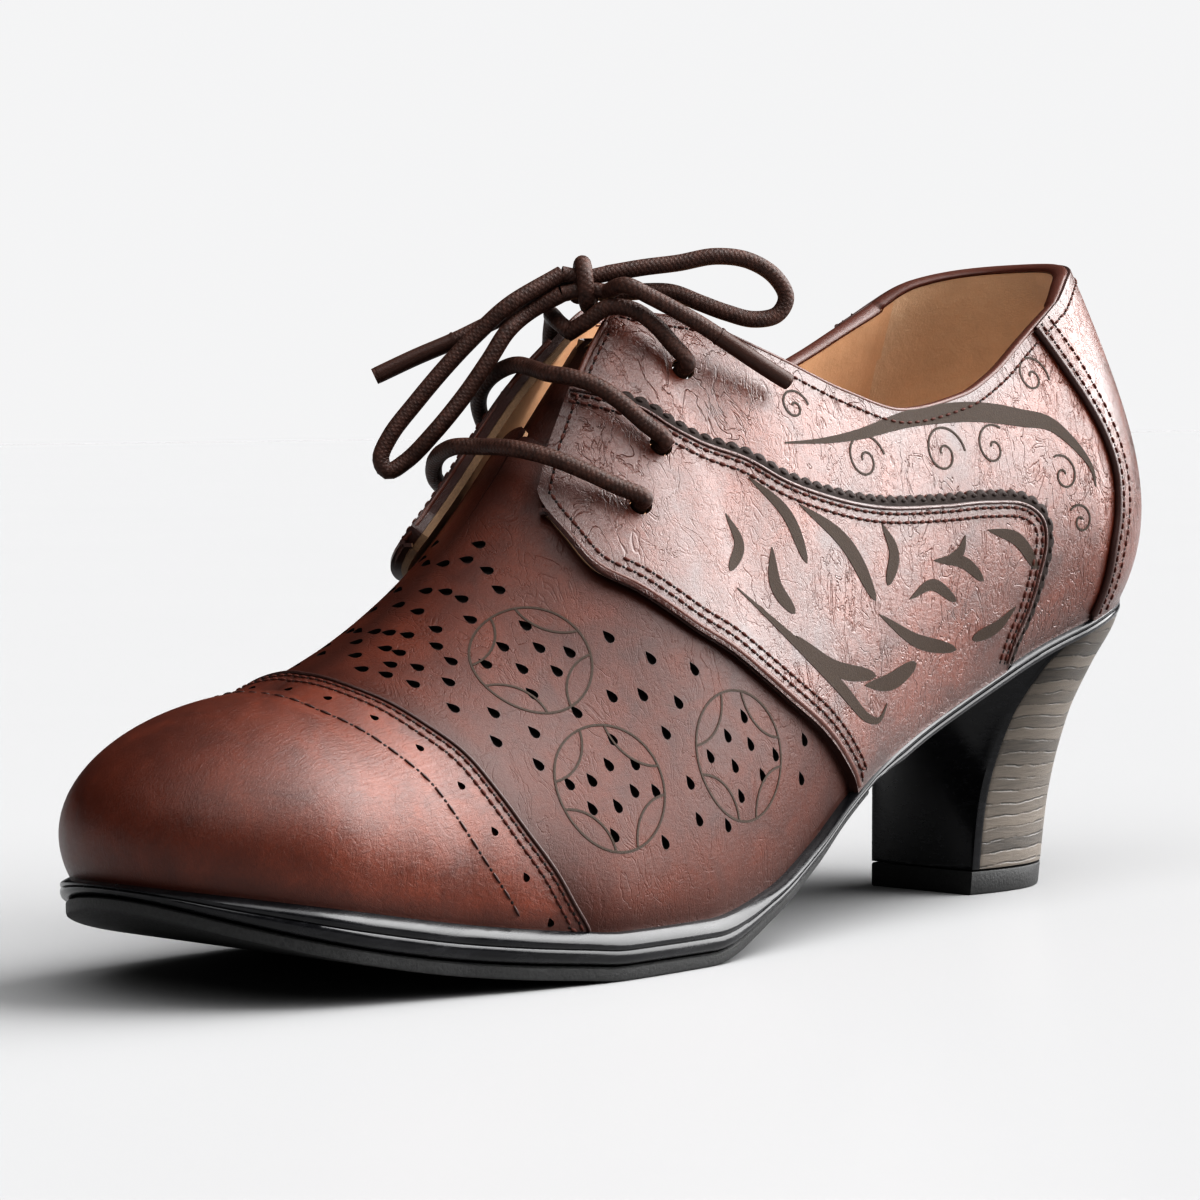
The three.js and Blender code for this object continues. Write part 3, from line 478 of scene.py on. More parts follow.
def edit(obj, step):
    """Runs one edit-mode step on all of a mesh."""
    choose(obj)
    bpy.ops.object.mode_set(mode="EDIT")
    bpy.ops.mesh.select_all(action="SELECT")
    step()
    bpy.ops.object.mode_set(mode="OBJECT")


def sheet(name, points):
    """A grid primitive laid on rows of points, facing out of the first two directions."""
    rows, count = points.shape[:2]
    deselect()
    bpy.ops.mesh.primitive_grid_add(x_subdivisions=count - 1, y_subdivisions=rows - 1, size=1)
    obj = bpy.context.object
    obj.name = obj.data.name = name
    obj.data.vertices.foreach_set("co", place(points).ravel())
    obj.data.update()
    return obj


def merge(obj, distance=2e-5):
    edit(obj, lambda: bpy.ops.mesh.remove_doubles(threshold=distance))


def outward(obj):
    edit(obj, lambda: bpy.ops.mesh.normals_make_consistent(inside=False))


def smooth(obj, angle=40):
    choose(obj)
    bpy.ops.object.shade_smooth_by_angle(angle=math.radians(angle))


def paint(obj, *materials):
    obj.data.materials.clear()
    for material in materials:
        obj.data.materials.append(material)


def joined(name, objects):
    deselect()
    for obj in objects:
        obj.select_set(True)
    bpy.context.view_layer.objects.active = objects[0]
    bpy.ops.object.join()
    obj = bpy.context.object
    obj.name = obj.data.name = name
    return obj


def put(obj, slot, *nodes):
    """A finished piece rides on the shoe, and stands for its nodes."""
    obj.data.transform(obj.matrix_world)
    obj.matrix_world = Matrix()
    if nodes:
        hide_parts(*nodes)
    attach(obj, "root")
    return obj


def near_edge(obj, lines):
    """Stores each corner's distance in millimetres to the nearest of some lines."""
    points = place(np.vstack(lines))
    tree = KDTree(len(points))
    for i, p in enumerate(points):
        tree.insert(p, i)
    tree.balance()
    layer = obj.data.attributes.new("edge", "FLOAT", "POINT")
    layer.data.foreach_set("value", [tree.find(v.co)[2] / MM for v in obj.data.vertices])


def hide(name, s, v, offset, thickness, materials, flared=False, soft=0.25, edges=None, skirt=0.0, cutter=None):
    """A piece of leather with a wall, laid on the form by stations and shares of the way up."""
    points = skin(s, v, offset, flared)
    if skirt:
        lower = points[:, :1] - [0, 0, skirt]
        points = np.concatenate([lower, points], 1)
    if s[-1].mean() < s[0].mean():
        points = points[::-1]
    points = points.transpose(1, 0, 2)
    obj = sheet(name, points)
    merge(obj)
    paint(obj, *materials)
    apply_modifier(obj, "wall", "SOLIDIFY", thickness=thickness * MM, offset=-1, use_rim=True,
                   use_even_offset=False, material_offset=2, material_offset_rim=1)
    if cutter:
        pierce(obj, cutter)
    if soft:
        apply_modifier(obj, "soft_edge", "BEVEL", width=soft * MM, segments=2, limit_method="ANGLE",
                       angle_limit=math.radians(55), use_clamp_overlap=True)
    if edges is not None:
        near_edge(obj, edges)
    smooth(obj)
    return obj


def frames(points, closed=False):
    """Two crosswise directions at each point of a line, turning as little as they can."""
    if closed:
        tangent = unit(np.roll(points, -1, 0) - np.roll(points, 1, 0))
    else:
        tangent = unit(np.gradient(points, axis=0))
    start = np.array((0, 0, 1.0)) if abs(tangent[0][2]) < 0.9 else np.array((1.0, 0, 0))
    first = [unit(np.cross(tangent[0], start))]
    for t in tangent[1:]:
        first.append(unit(first[-1] - t * np.dot(first[-1], t)))
    first = np.array(first)
    return first, np.cross(tangent, first)


def tube(name, points, radius, sides=16, material=None, braid=4.0):
    """A round cord along points, with a UV map that runs round it and along it."""
    points = np.asarray(points, float)
    radius = np.broadcast_to(radius, len(points))
    a, b = frames(points)
    turn = np.linspace(0, 2 * math.pi, sides + 1)
    ring = points[:, None] + radius[:, None, None] * (
        np.cos(turn)[None, :, None] * a[:, None] + np.sin(turn)[None, :, None] * b[:, None])
    obj = sheet(name, ring)
    reach = np.concatenate([[0], np.cumsum(np.linalg.norm(np.diff(points, axis=0), axis=1))])
    layer = obj.data.uv_layers.active or obj.data.uv_layers.new(name="UVMap")
    spots = np.stack(np.broadcast_arrays(np.linspace(0, 1, sides + 1)[None, :], (reach / braid)[:, None]), -1).reshape(-1, 2)
    index = np.zeros(len(obj.data.loops), np.int32)
    obj.data.loops.foreach_get("vertex_index", index)
    layer.data.foreach_set("uv", spots[index].ravel())
    merge(obj)
    edit(obj, close_ends)
    outward(obj)
    if material:
        paint(obj, material)
    smooth(obj, 50)
    return obj


def close_ends():
    bpy.ops.mesh.select_all(action="DESELECT")
    bpy.ops.mesh.select_non_manifold()
    bpy.ops.mesh.fill_holes(sides=64)
    bpy.ops.mesh.select_all(action="SELECT")


# Finishes --------------------------------------------------------------------

def add(tree, kind, inputs=None, **settings):
    """One shader node with its settings and its inputs, linked or set."""
    node = tree.nodes.new(kind)
    for key, value in settings.items():
        setattr(node, key, value)
    for key, value in (inputs or {}).items():
        if isinstance(value, bpy.types.NodeSocket):
            tree.links.new(value, node.inputs[key])
        else:
            node.inputs[key].default_value = value
    return node


def colour(rgb):
    return (*rgb[:3], 1.0)


def started(name, **sockets):
    """A new material, its shader, and the place on the object in millimetres."""
    material = bpy.data.materials.new(name)
    material.use_nodes = True
    tree = material.node_tree
    shader = tree.nodes["Principled BSDF"]
    for key, value in sockets.items():
        shader.inputs[key.replace("_", " ")].default_value = value
    where = add(tree, "ShaderNodeTexCoord").outputs["Object"]
    where = add(tree, "ShaderNodeVectorMath", {0: where, "Scale": 1000.0}, operation="SCALE").outputs[0]
    return material, tree, shader, where


def noise(tree, where, scale, detail=4.0, rough=0.55, stretch=None, warp=0.0):
    if stretch:
        where = add(tree, "ShaderNodeMapping", {"Vector": where, "Scale": stretch}).outputs[0]
    return add(tree, "ShaderNodeTexNoise", {
        "Vector": where, "Scale": scale, "Detail": detail, "Roughness": rough, "Distortion": warp,
    }).outputs["Fac"]


def ramp(tree, value, low, high, to_low=0.0, to_high=1.0):
    return add(tree, "ShaderNodeMapRange", {
        "Value": value, "From Min": low, "From Max": high, "To Min": to_low, "To Max": to_high,
    }).outputs[0]


def maths(tree, operation, a, b=0.0):
    return add(tree, "ShaderNodeMath", {0: a, 1: b}, operation=operation).outputs[0]


def blend(tree, share, a, b, kind="MIX"):
    a = colour(a) if isinstance(a, tuple) else a
    b = colour(b) if isinstance(b, tuple) else b
    node = add(tree, "ShaderNodeMix", data_type="RGBA", blend_type=kind)
    for slot, value in ((0, share), (6, a), (7, b)):
        if isinstance(value, bpy.types.NodeSocket):
            tree.links.new(value, node.inputs[slot])
        else:
            node.inputs[slot].default_value = value
    return node.outputs[2]


def bump(tree, shader, *heights):
    """Chains bumps of (height, depth in metres) into the shader's normal."""
    normal = None
    for height, depth in heights:
        inputs = {"Height": height, "Distance": depth, "Strength": 1.0}
        if normal:
            inputs["Normal"] = normal
        normal = add(tree, "ShaderNodeBump", inputs).outputs[0]
    tree.links.new(normal, shader.inputs["Normal"])
    tree.links.new(normal, shader.inputs["Coat Normal"])


def link(tree, value, shader, name):
    tree.links.new(value, shader.inputs[name])


def wrinkles(tree, where, scale, width, stretch=(1, 1, 1), warp=0.8):
    """Thin winding lines, where a noise passes its middle value."""
    height = noise(tree, where, scale, 3.0, 0.6, stretch, warp)
    off = maths(tree, "ABSOLUTE", maths(tree, "SUBTRACT", height, 0.5))
    return ramp(tree, off, 0.0, width, 1.0, 0.0)


def burnished_leather(name, light, dark, crease=1.0, hair=0.0, edge_reach=7.0, gloss=0.7, shade=None):
    """Brown leather, darker by its edges, with fine winding wrinkles, grain and hair marks."""
    material, tree, shader, where = started(name, Coat_Weight=gloss, Coat_Roughness=0.24, Coat_IOR=1.6, Specular_IOR_Level=0.2)
    wide = noise(tree, where, 0.03, 3.0)
    patch = noise(tree, where, 0.13, 5.0, 0.6, warp=0.6)
    fine = noise(tree, where, 2.2, 6.0, 0.7)
    creased = ramp(tree, noise(tree, where, 0.06, 3.0), 0.36, 0.58)
    folds = maths(tree, "MULTIPLY", wrinkles(tree, where, 0.12, 0.022, (1.0, 1.5, 0.8), 1.2), creased)
    lines = maths(tree, "MULTIPLY", wrinkles(tree, where, 0.34, 0.035, (1.0, 1.4, 0.9)), ramp(tree, patch, 0.35, 0.6))
    pebble = wrinkles(tree, where, 1.3, 0.06)
    strands = noise(tree, where, 0.8, 6.0, 0.72, (3.4, 0.45, 1.2), 1.0)
    tone = maths(tree, "ADD", maths(tree, "MULTIPLY", wide, 0.5), maths(tree, "MULTIPLY", patch, 0.6))
    base = blend(tree, ramp(tree, tone, 0.4, 0.74), dark, light)
    base = blend(tree, maths(tree, "MULTIPLY", ramp(tree, fine, 0.38, 0.7), 0.35), base, dark)
    # Painted shade: the wrinkle lines are darkened as if shade lay in the creases
    base = blend(tree, maths(tree, "MULTIPLY", maths(tree, "MAXIMUM", folds, lines), 0.3 * crease), base, tuple(c * 0.6 for c in dark))
    base = blend(tree, maths(tree, "MULTIPLY", ramp(tree, strands, 0.48, 0.72), 0.5 * hair), base, dark)
    edge = add(tree, "ShaderNodeAttribute", attribute_name="edge").outputs["Fac"]
    # Darker near the edge lines: wear on a piece's own edges, and painted shade where the edges run under the cap, the
    # quarters or along the sole
    worn_and_shaded = maths(tree, "MULTIPLY", ramp(tree, edge, 0.3, edge_reach, 1.0, 0.0), ramp(tree, patch, 0.25, 0.7, 0.55, 1.0))
    base = blend(tree, maths(tree, "MULTIPLY", worn_and_shaded, 0.7), base, tuple(c * 0.35 for c in dark))
    # Painted shade: the leather darkens towards the front of the shoe, from one place along to another, as the front
    # faces away from the lights
    if shade:
        start, end, deep = shade
        away = add(tree, "ShaderNodeSeparateXYZ", {0: where}).outputs[1]
        base = blend(tree, maths(tree, "MULTIPLY", ramp(tree, away, start, end, 1.0, 0.0), deep), base, dark)
    link(tree, base, shader, "Base Color")
    rough = maths(tree, "ADD", maths(tree, "MULTIPLY", patch, 0.5), maths(tree, "MULTIPLY", fine, 0.5))
    link(tree, ramp(tree, rough, 0.3, 0.7, 0.34, 0.52), shader, "Roughness")
    bump(tree, shader, (folds, -0.00014 * crease), (lines, -0.00005 * crease), (pebble, -0.00001 * crease - 0.000005),
         (fine, 0.00004), (strands, 0.0001 * hair + 0.00002))
    return material


def plain_leather(name, light, dark, rough=0.5, grain=0.00006, nap=False):
    """Lining leather, smooth or with a brushed nap."""
    material, tree, shader, where = started(name, Specular_IOR_Level=0.3 if nap else 0.45)
    wide, fine = noise(tree, where, 0.05, 4.0), noise(tree, where, 2.2, 6.0, 0.7)
    base = blend(tree, ramp(tree, wide, 0.3, 0.7), dark, light)
    base = blend(tree, maths(tree, "MULTIPLY", ramp(tree, fine, 0.4, 0.7), 0.3), base, dark)
    link(tree, base, shader, "Base Color")
    link(tree, ramp(tree, fine, 0.3, 0.7, rough - 0.08, rough + 0.12), shader, "Roughness")
    if nap:
        shader.inputs["Sheen Weight"].default_value = 0.3
    bump(tree, shader, (fine, grain), (noise(tree, where, 0.35, 5.0), grain * 2))
    return material


def raw_edge(name, tone, gloss=0.0):
    """The dyed cut edge of leather, or thread; waxed where it has gloss."""
    material, tree, shader, where = started(name, Coat_Weight=gloss, Coat_Roughness=0.2, Specular_IOR_Level=0.15)
    fibre = noise(tree, where, 3.0, 5.0, 0.7)
    link(tree, blend(tree, ramp(tree, fibre, 0.3, 0.7), tuple(c * 0.55 for c in tone), tone), shader, "Base Color")
    link(tree, ramp(tree, fibre, 0.3, 0.7, 0.5, 0.7), shader, "Roughness")
    bump(tree, shader, (fibre, 0.00008))
    return material


def polished_sole(name, tone, rough=0.16):
    """Black moulded edge with a polish, faint scuffs and dust."""
    material, tree, shader, where = started(name, Coat_Weight=0.2, Coat_Roughness=0.16, Specular_IOR_Level=0.3)
    scuff = noise(tree, where, 0.5, 6.0, 0.7, (1.0, 0.25, 2.0))
    dust = noise(tree, where, 0.09, 4.0)
    link(tree, blend(tree, ramp(tree, scuff, 0.45, 0.8), tone, tuple(c * 2.2 + 0.004 for c in tone)), shader, "Base Color")
    link(tree, maths(tree, "ADD", ramp(tree, scuff, 0.35, 0.8, rough, rough + 0.16), ramp(tree, dust, 0.4, 0.7, 0.0, 0.07)), shader, "Roughness")
    bump(tree, shader, (scuff, 0.00003))
    return material


def tread_rubber(name, tone):
    material, tree, shader, where = started(name, Specular_IOR_Level=0.4)
    grit = noise(tree, where, 1.8, 5.0, 0.6)
    link(tree, blend(tree, ramp(tree, grit, 0.3, 0.7), tone, tuple(c * 1.9 + 0.006 for c in tone)), shader, "Base Color")
    link(tree, ramp(tree, grit, 0.3, 0.7, 0.42, 0.62), shader, "Roughness")
    bump(tree, shader, (grit, 0.0001))
    return material


def stacked_heel(name, light, dark):
    """Wood-look layers lying level, each of its own tone, with dark joints."""
    material, tree, shader, where = started(name, Coat_Weight=0.15, Coat_Roughness=0.35)
    wobble = noise(tree, where, 0.07, 3.0)
    height = add(tree, "ShaderNodeSeparateXYZ", {0: where}).outputs[2]
    level = maths(tree, "ADD", height, maths(tree, "MULTIPLY", wobble, 3.0))
    layer = maths(tree, "MULTIPLY", level, 0.42)
    joint = maths(tree, "PINGPONG", layer, 0.5)
    number = maths(tree, "FLOOR", layer)
    tone = add(tree, "ShaderNodeTexWhiteNoise", {"W": number}, noise_dimensions="1D").outputs["Value"]
    streak = noise(tree, where, 0.5, 7.0, 0.7, (0.35, 0.35, 3.4), 0.4)
    broken = noise(tree, where, 0.22, 4.0)
    mixed = maths(tree, "ADD", maths(tree, "MULTIPLY", tone, 0.45), maths(tree, "MULTIPLY", streak, 0.75))
    base = blend(tree, ramp(tree, mixed, 0.3, 0.85), dark, light)
    gap = maths(tree, "MULTIPLY", ramp(tree, joint, 0.0, 0.12, 1.0, 0.0), ramp(tree, broken, 0.38, 0.56))
    base = blend(tree, maths(tree, "MULTIPLY", gap, 0.8), base, tuple(c * 0.35 for c in dark))
    link(tree, base, shader, "Base Color")
    link(tree, ramp(tree, streak, 0.3, 0.7, 0.42, 0.6), shader, "Roughness")
    bump(tree, shader, (gap, -0.00012), (streak, 0.00008))
    return material


def waxed_cord(name, light, dark):
    """Round braided cord with wax on it."""
    material, tree, shader, where = started(name, Specular_IOR_Level=0.3)
    uv = add(tree, "ShaderNodeUVMap", uv_map="UVMap").outputs[0]
    parts = add(tree, "ShaderNodeSeparateXYZ", {0: uv})
    round_, along = parts.outputs[0], parts.outputs[1]
    left = maths(tree, "ADD", maths(tree, "MULTIPLY", round_, 6.0), maths(tree, "MULTIPLY", along, 4.5))
    right = maths(tree, "SUBTRACT", maths(tree, "MULTIPLY", round_, 6.0), maths(tree, "MULTIPLY", along, 4.5))
    braid = maths(tree, "MULTIPLY", maths(tree, "PINGPONG", left, 0.5), maths(tree, "PINGPONG", right, 0.5))
    wax, fluff = noise(tree, where, 0.6, 5.0, 0.65), noise(tree, where, 4.0, 5.0, 0.7)
    base = blend(tree, ramp(tree, wax, 0.35, 0.72), dark, light)
    # Painted shade: darker in the grooves between the braid's strands
    base = blend(tree, ramp(tree, braid, 0.0, 0.12, 0.3, 0.0), base, tuple(c * 0.35 for c in dark))
    base = blend(tree, maths(tree, "MULTIPLY", ramp(tree, fluff, 0.55, 0.75), 0.35), base, tuple(min(1, c * 2.2) for c in light))
    link(tree, base, shader, "Base Color")
    link(tree, ramp(tree, wax, 0.3, 0.7, 0.38, 0.58), shader, "Roughness")
    bump(tree, shader, (ramp(tree, braid, 0.0, 0.16), 0.00007), (fluff, 0.00009))
    return material


def floor_paper(name, tone):
    """Pale matte paper with a faint gloss."""
    material, tree, shader, where = started(name, Specular_IOR_Level=0.0, Roughness=0.9)
    soft = noise(tree, where, 0.004, 3.0)
    link(tree, blend(tree, soft, tone, tuple(min(1, c * 1.015) for c in tone)), shader, "Base Color")
    shine = add(tree, "ShaderNodeBsdfGlossy", {"Roughness": 0.22, "Color": (0.9, 0.9, 0.9, 1)}).outputs[0]
    mixed = add(tree, "ShaderNodeMixShader", {0: 0.05, 1: shader.outputs[0], 2: shine})
    link_to = tree.nodes["Material Output"].inputs["Surface"]
    tree.links.new(mixed.outputs[0], link_to)
    return material


FINISHES = {}


def finish(name):
    """The shoe's finishes by name, made on first use from the panel's colours."""
    if name in FINISHES:
        return FINISHES[name]
    c = bpy.context.scene.shoe_colours
    leather, burnish_and_shade = tuple(c.leather), tuple(c.burnish_and_shade)
    makers = {
        "quarter": lambda: burnished_leather("quarter_leather", leather, burnish_and_shade, 1.0, 0.2, 5.0, 0.85),
        # The last numbers of panel, vamp and cap set their painted shade towards the front: where it starts, where it
        # is full, and how deep
        "panel": lambda: burnished_leather("panel_leather", leather, burnish_and_shade, 0.8, 0.5, 5.0, 0.85, (-30.0, 12.0, 0.4)),
        "vamp": lambda: burnished_leather("vamp_leather", tuple(x * 0.55 for x in leather), tuple(x * 0.8 for x in burnish_and_shade), 0.3, 0.4, 6.0, 0.12, (-76.0, -48.0, 0.25)),
        "cap": lambda: burnished_leather("cap_leather", leather, burnish_and_shade, 0.12, 0.9, 4.0, 0.38, (-118.0, -70.0, 0.55)),
        # The tongue is a darker copy of the leather: painted shade, as it lies in shade between the flaps
        "tongue": lambda: burnished_leather("tongue_leather_painted_shade", tuple(x * 0.4 for x in leather), tuple(x * 0.4 for x in burnish_and_shade), 0.4, 0.4, 5.0, 0.1),
        "edge": lambda: raw_edge("dyed_edge", tuple(c.edge), 0.6),
        "rolled": lambda: raw_edge("rolled_edge", tuple(x * 0.5 for x in leather), 0.7),
        "lining_edge": lambda: raw_edge("lining_edge", tuple(x * 0.3 for x in c.lining)),
        # Near-black on hidden inner faces, cutters and needle-hole dots: painted shade inside gaps and holes
        "dark": lambda: raw_edge("painted_shade_backing", (0.012, 0.008, 0.007)),
        "lining": lambda: plain_leather("lining_leather", tuple(c.lining), tuple(x * 0.72 for x in c.lining), 0.42),
        "nap": lambda: plain_leather("heel_nap", tuple(c.nap), tuple(x * 0.75 for x in c.nap), 0.75, 0.00012, True),
        "gimp": lambda: raw_edge("scalloped_trim", tuple(c.gimp)),
        "sole": lambda: polished_sole("polished_sole", tuple(c.sole)),
        # A lighter copy of the sole: painted highlight for the light-catching top of the sole's edge
        "bevel": lambda: polished_sole("sole_bevel_painted_highlight", tuple(x * 3 + 0.02 for x in c.sole), 0.24),
        "rubber": lambda: tread_rubber("tread_rubber", tuple(c.rubber)),
        "stack": lambda: stacked_heel("stacked_heel", tuple(c.stack), tuple(c.stack_dark)),
        "cord": lambda: waxed_cord("waxed_cord", tuple(c.cord), tuple(x * 0.4 for x in c.cord)),
        "tip": lambda: raw_edge("cord_tip", tuple(x * 0.7 for x in c.cord), 0.25),
        "thread": lambda: raw_edge("seam_thread", tuple(c.thread)),
        "ornament": lambda: raw_edge("burnt_ornament", tuple(c.ornament)),
        "floor": lambda: floor_paper("floor_paper", tuple(c.floor)),
    }
    FINISHES[name] = makers[name]()
    return FINISHES[name]


# Laces: the part's own routes -------------------------------------------------

EYELETS = [[-0.089, 0.622], [-0.058, 0.704], [-0.017, 0.816]]
CORD_REST = LACE / 2 + 0.7
KNOT = np.array((-0.025 * BALL, -0.056 * LENGTH, 0.942 * COLLAR))
KNOT_TURN = math.pi / 4
KNOT_EXIT = 4.0


def surface_at(side, y, height):
    """Station and share of the way up at a place along and a height."""
    s = side * station(y / LENGTH)
    return s, float(np.interp(height, form_point(s, RUN[48:])[:, 2], RUN[48:]))


def eyelet_at(side, k):
    s, v = surface_at(side, EYELETS[k][0] * LENGTH, EYELETS[k][1] * COLLAR)
    return s, v, form_point(s, v), form_normal(s, v)


def above_eyelet(side, k, rise=CORD_REST):
    s, v, point, normal = eyelet_at(side, k)
    raised = PANEL if k < 2 else OVERLAY
    return point + normal * (rise + raised + float(flare(s, point)))


def route(rows):
    return [np.array(row) * [BALL, LENGTH, COLLAR] for row in rows]


def knot_exit(way, outward_, rise):
    x, y = way * KNOT_EXIT, -outward_
    c, s = math.cos(KNOT_TURN), math.sin(KNOT_TURN)
    return np.array((c * x - s * y, s * x + c * y, rise)) + KNOT


BAR_LOWER = [above_eyelet(1, 0), *route([
    [0.238, -0.112, 0.655], [0.195, -0.131, 0.677], [0.135, -0.147, 0.697], [0.06, -0.157, 0.709],
    [-0.05, -0.154, 0.712], [-0.125, -0.158, 0.712], [-0.215, -0.148, 0.696], [-0.28, -0.13, 0.668],
]), above_eyelet(-1, 0)]
BAR_MIDDLE = [above_eyelet(1, 1), *route([
    [0.213, -0.075, 0.742], [0.178, -0.086, 0.77], [0.135, -0.096, 0.794], [0.08, -0.105, 0.808],
    [0.01, -0.106, 0.814], [-0.06, -0.098, 0.822], [-0.12, -0.097, 0.828], [-0.175, -0.1, 0.816],
    [-0.225, -0.098, 0.795], [-0.27, -0.087, 0.766],
]), above_eyelet(-1, 1)]
TIE_NEAR = [above_eyelet(1, 2), *route([
    [0.16, -0.028, 0.856], [0.13, -0.036, 0.884], [0.092, -0.045, 0.904], [0.045, -0.055, 0.908],
    [0, -0.063, 0.888], [-0.045, -0.067, 0.872],
])]
TIE_FAR = [above_eyelet(-1, 2), *route([
    [-0.2, -0.034, 0.868], [-0.16, -0.045, 0.895], [-0.115, -0.06, 0.9], [-0.075, -0.066, 0.888],
    [-0.035, -0.067, 0.874],
])]
LOOP_RIGHT = [knot_exit(1, -0.5, 1.9), *route([
    [0.06, -0.022, 0.966], [0.11, -0.002, 0.972], [0.165, 0.018, 0.981],
    [0.212, 0.037, 0.975], [0.25, 0.052, 0.952], [0.263, 0.06, 0.921], [0.25, 0.055, 0.897],
    [0.222, 0.039, 0.89], [0.186, 0.022, 0.9], [0.145, 0.009, 0.914], [0.095, -0.004, 0.93],
    [0.05, -0.017, 0.932],
]), knot_exit(1, -2.2, -1.7)]
END_RIGHT = [knot_exit(1, 1.9, -1.4), *route([
    [0.106, -0.056, 0.938], [0.145, -0.045, 0.922], [0.18, -0.031, 0.903],
    [0.215, -0.014, 0.88], [0.247, 0.004, 0.854], [0.275, 0.024, 0.827], [0.3, 0.048, 0.799],
])]
LOOP_LEFT = [knot_exit(-1, 1.5, -1.7), *route([
    [-0.1, -0.088, 0.904], [-0.115, -0.106, 0.876], [-0.138, -0.118, 0.835],
    [-0.175, -0.131, 0.786], [-0.217, -0.149, 0.733], [-0.275, -0.16, 0.692], [-0.3, -0.171, 0.678],
    [-0.312, -0.174, 0.695], [-0.3, -0.168, 0.728], [-0.263, -0.153, 0.776], [-0.212, -0.134, 0.833],
    [-0.163, -0.117, 0.879], [-0.113, -0.104, 0.914],
]), knot_exit(-1, 0.6, 1.9)]
END_LEFT = [knot_exit(-1, -2.6, 0.2), *route([
    [-0.15, -0.073, 0.915], [-0.2, -0.098, 0.888], [-0.25, -0.118, 0.864],
    [-0.312, -0.138, 0.841], [-0.375, -0.16, 0.814],
])]
TIP_LENGTH = 16.0


def tip(name, points, radius):
    """A cord's sealed end: a slimmer sleeve with a rounded nose."""
    reach = np.linspace(0, 1, len(points))
    shape = radius * np.where(reach < 0.04, 1.12, 1.03) * np.where(reach > 0.97, 0.86, 1)
    return tube(name, points, shape, 14, finish("tip"))


def bound_strand(name, points, radius=LACE / 2, count=90):
    return tube(name, spline(points, count), radius, 16, finish("cord"))


def make_laces(sizes):
    radius = sizes.lace_diameter / MM / 2
    inside_near = [above_eyelet(1, 0, -6.0), above_eyelet(1, 0, -1.5)]
    bars = {"lower": BAR_LOWER, "middle": BAR_MIDDLE}
    for k, (name, points) in enumerate(bars.items()):
        full = [above_eyelet(1, k, -3.2), above_eyelet(1, k, -0.4), *points, above_eyelet(-1, k, -0.4), above_eyelet(-1, k, -3.2)]
        put(bound_strand(f"lace_{name}", full, radius, 140), "lace_cord", f"lace_bar_{name}")
    for name, side, points in (("near", 1, TIE_NEAR), ("far", -1, TIE_FAR)):
        full = [above_eyelet(side, 2, -3.2), above_eyelet(side, 2, -0.4), *points]
        put(bound_strand(f"lace_tie_{name}", full, radius, 90), "lace_cord", "lace_tie")
    # The knot: one turn of cord round the crossing strands
    turn = Matrix.Rotation(KNOT_TURN, 3, "Z")
    angle = np.linspace(-0.75, 2 * math.pi - 0.35, 70)
    drift = np.linspace(-1.0, 1.1, 70)
    ring = np.stack([drift, np.cos(angle) * 3.3 * 0.88, np.sin(angle) * 3.3 * 1.12], -1)
    ring = ring @ np.array(turn).T + KNOT
    knot = [tube("knot_turn", ring, radius * 1.02, 16, finish("cord"))]
    for a, b, mid in (((1, -0.5, 1.9), (-1, 0.6, 1.9), (0, 0.0, 1.2)), ((1, 1.9, -1.4), (-1, 1.5, -1.7), (0, 1.3, -1.0)),
                      ((1, -2.2, -1.7), (-1, -2.6, 0.2), (0, -1.4, -0.8))):
        middle = np.array(turn) @ np.array((0, -mid[1], mid[2])) + KNOT
        knot.append(tube("knot_pass", spline([knot_exit(*a), middle, knot_exit(*b)], 24), radius * 0.97, 14, finish("cord")))
    knot = put(joined("bow_knot", knot), "lace_cord", "lace_knot")
    tips = {}
    for name, points, node, exit_, far in (
        ("bow_loop_right", LOOP_RIGHT, "lace_loop_right", 0, "knot"), ("bow_loop_left", LOOP_LEFT, "lace_loop_left", 0, "knot"),
        ("bow_end_right", END_RIGHT, "lace_end_right", 0, "fitting"), ("bow_end_left", END_LEFT, "lace_end_left", 0, "fitting"),
    ):
        line = spline(points, 120)
        reach = float(np.linalg.norm(np.diff(line, axis=0), axis=1).sum())
        cord = put(tube(name, line, radius, 16, finish("cord")), "lace_cord", node)
        pieces = [knot] if name == "bow_loop_right" else []
        if far == "fitting":
            last = line[np.linspace(0, 1, 120) * reach > reach - TIP_LENGTH]
            tips[name] = put(tip(name + "_tip", last, radius), "lace_cord", node)
            pieces.append(tips[name])


# Vamp and cap ------------------------------------------------------------------

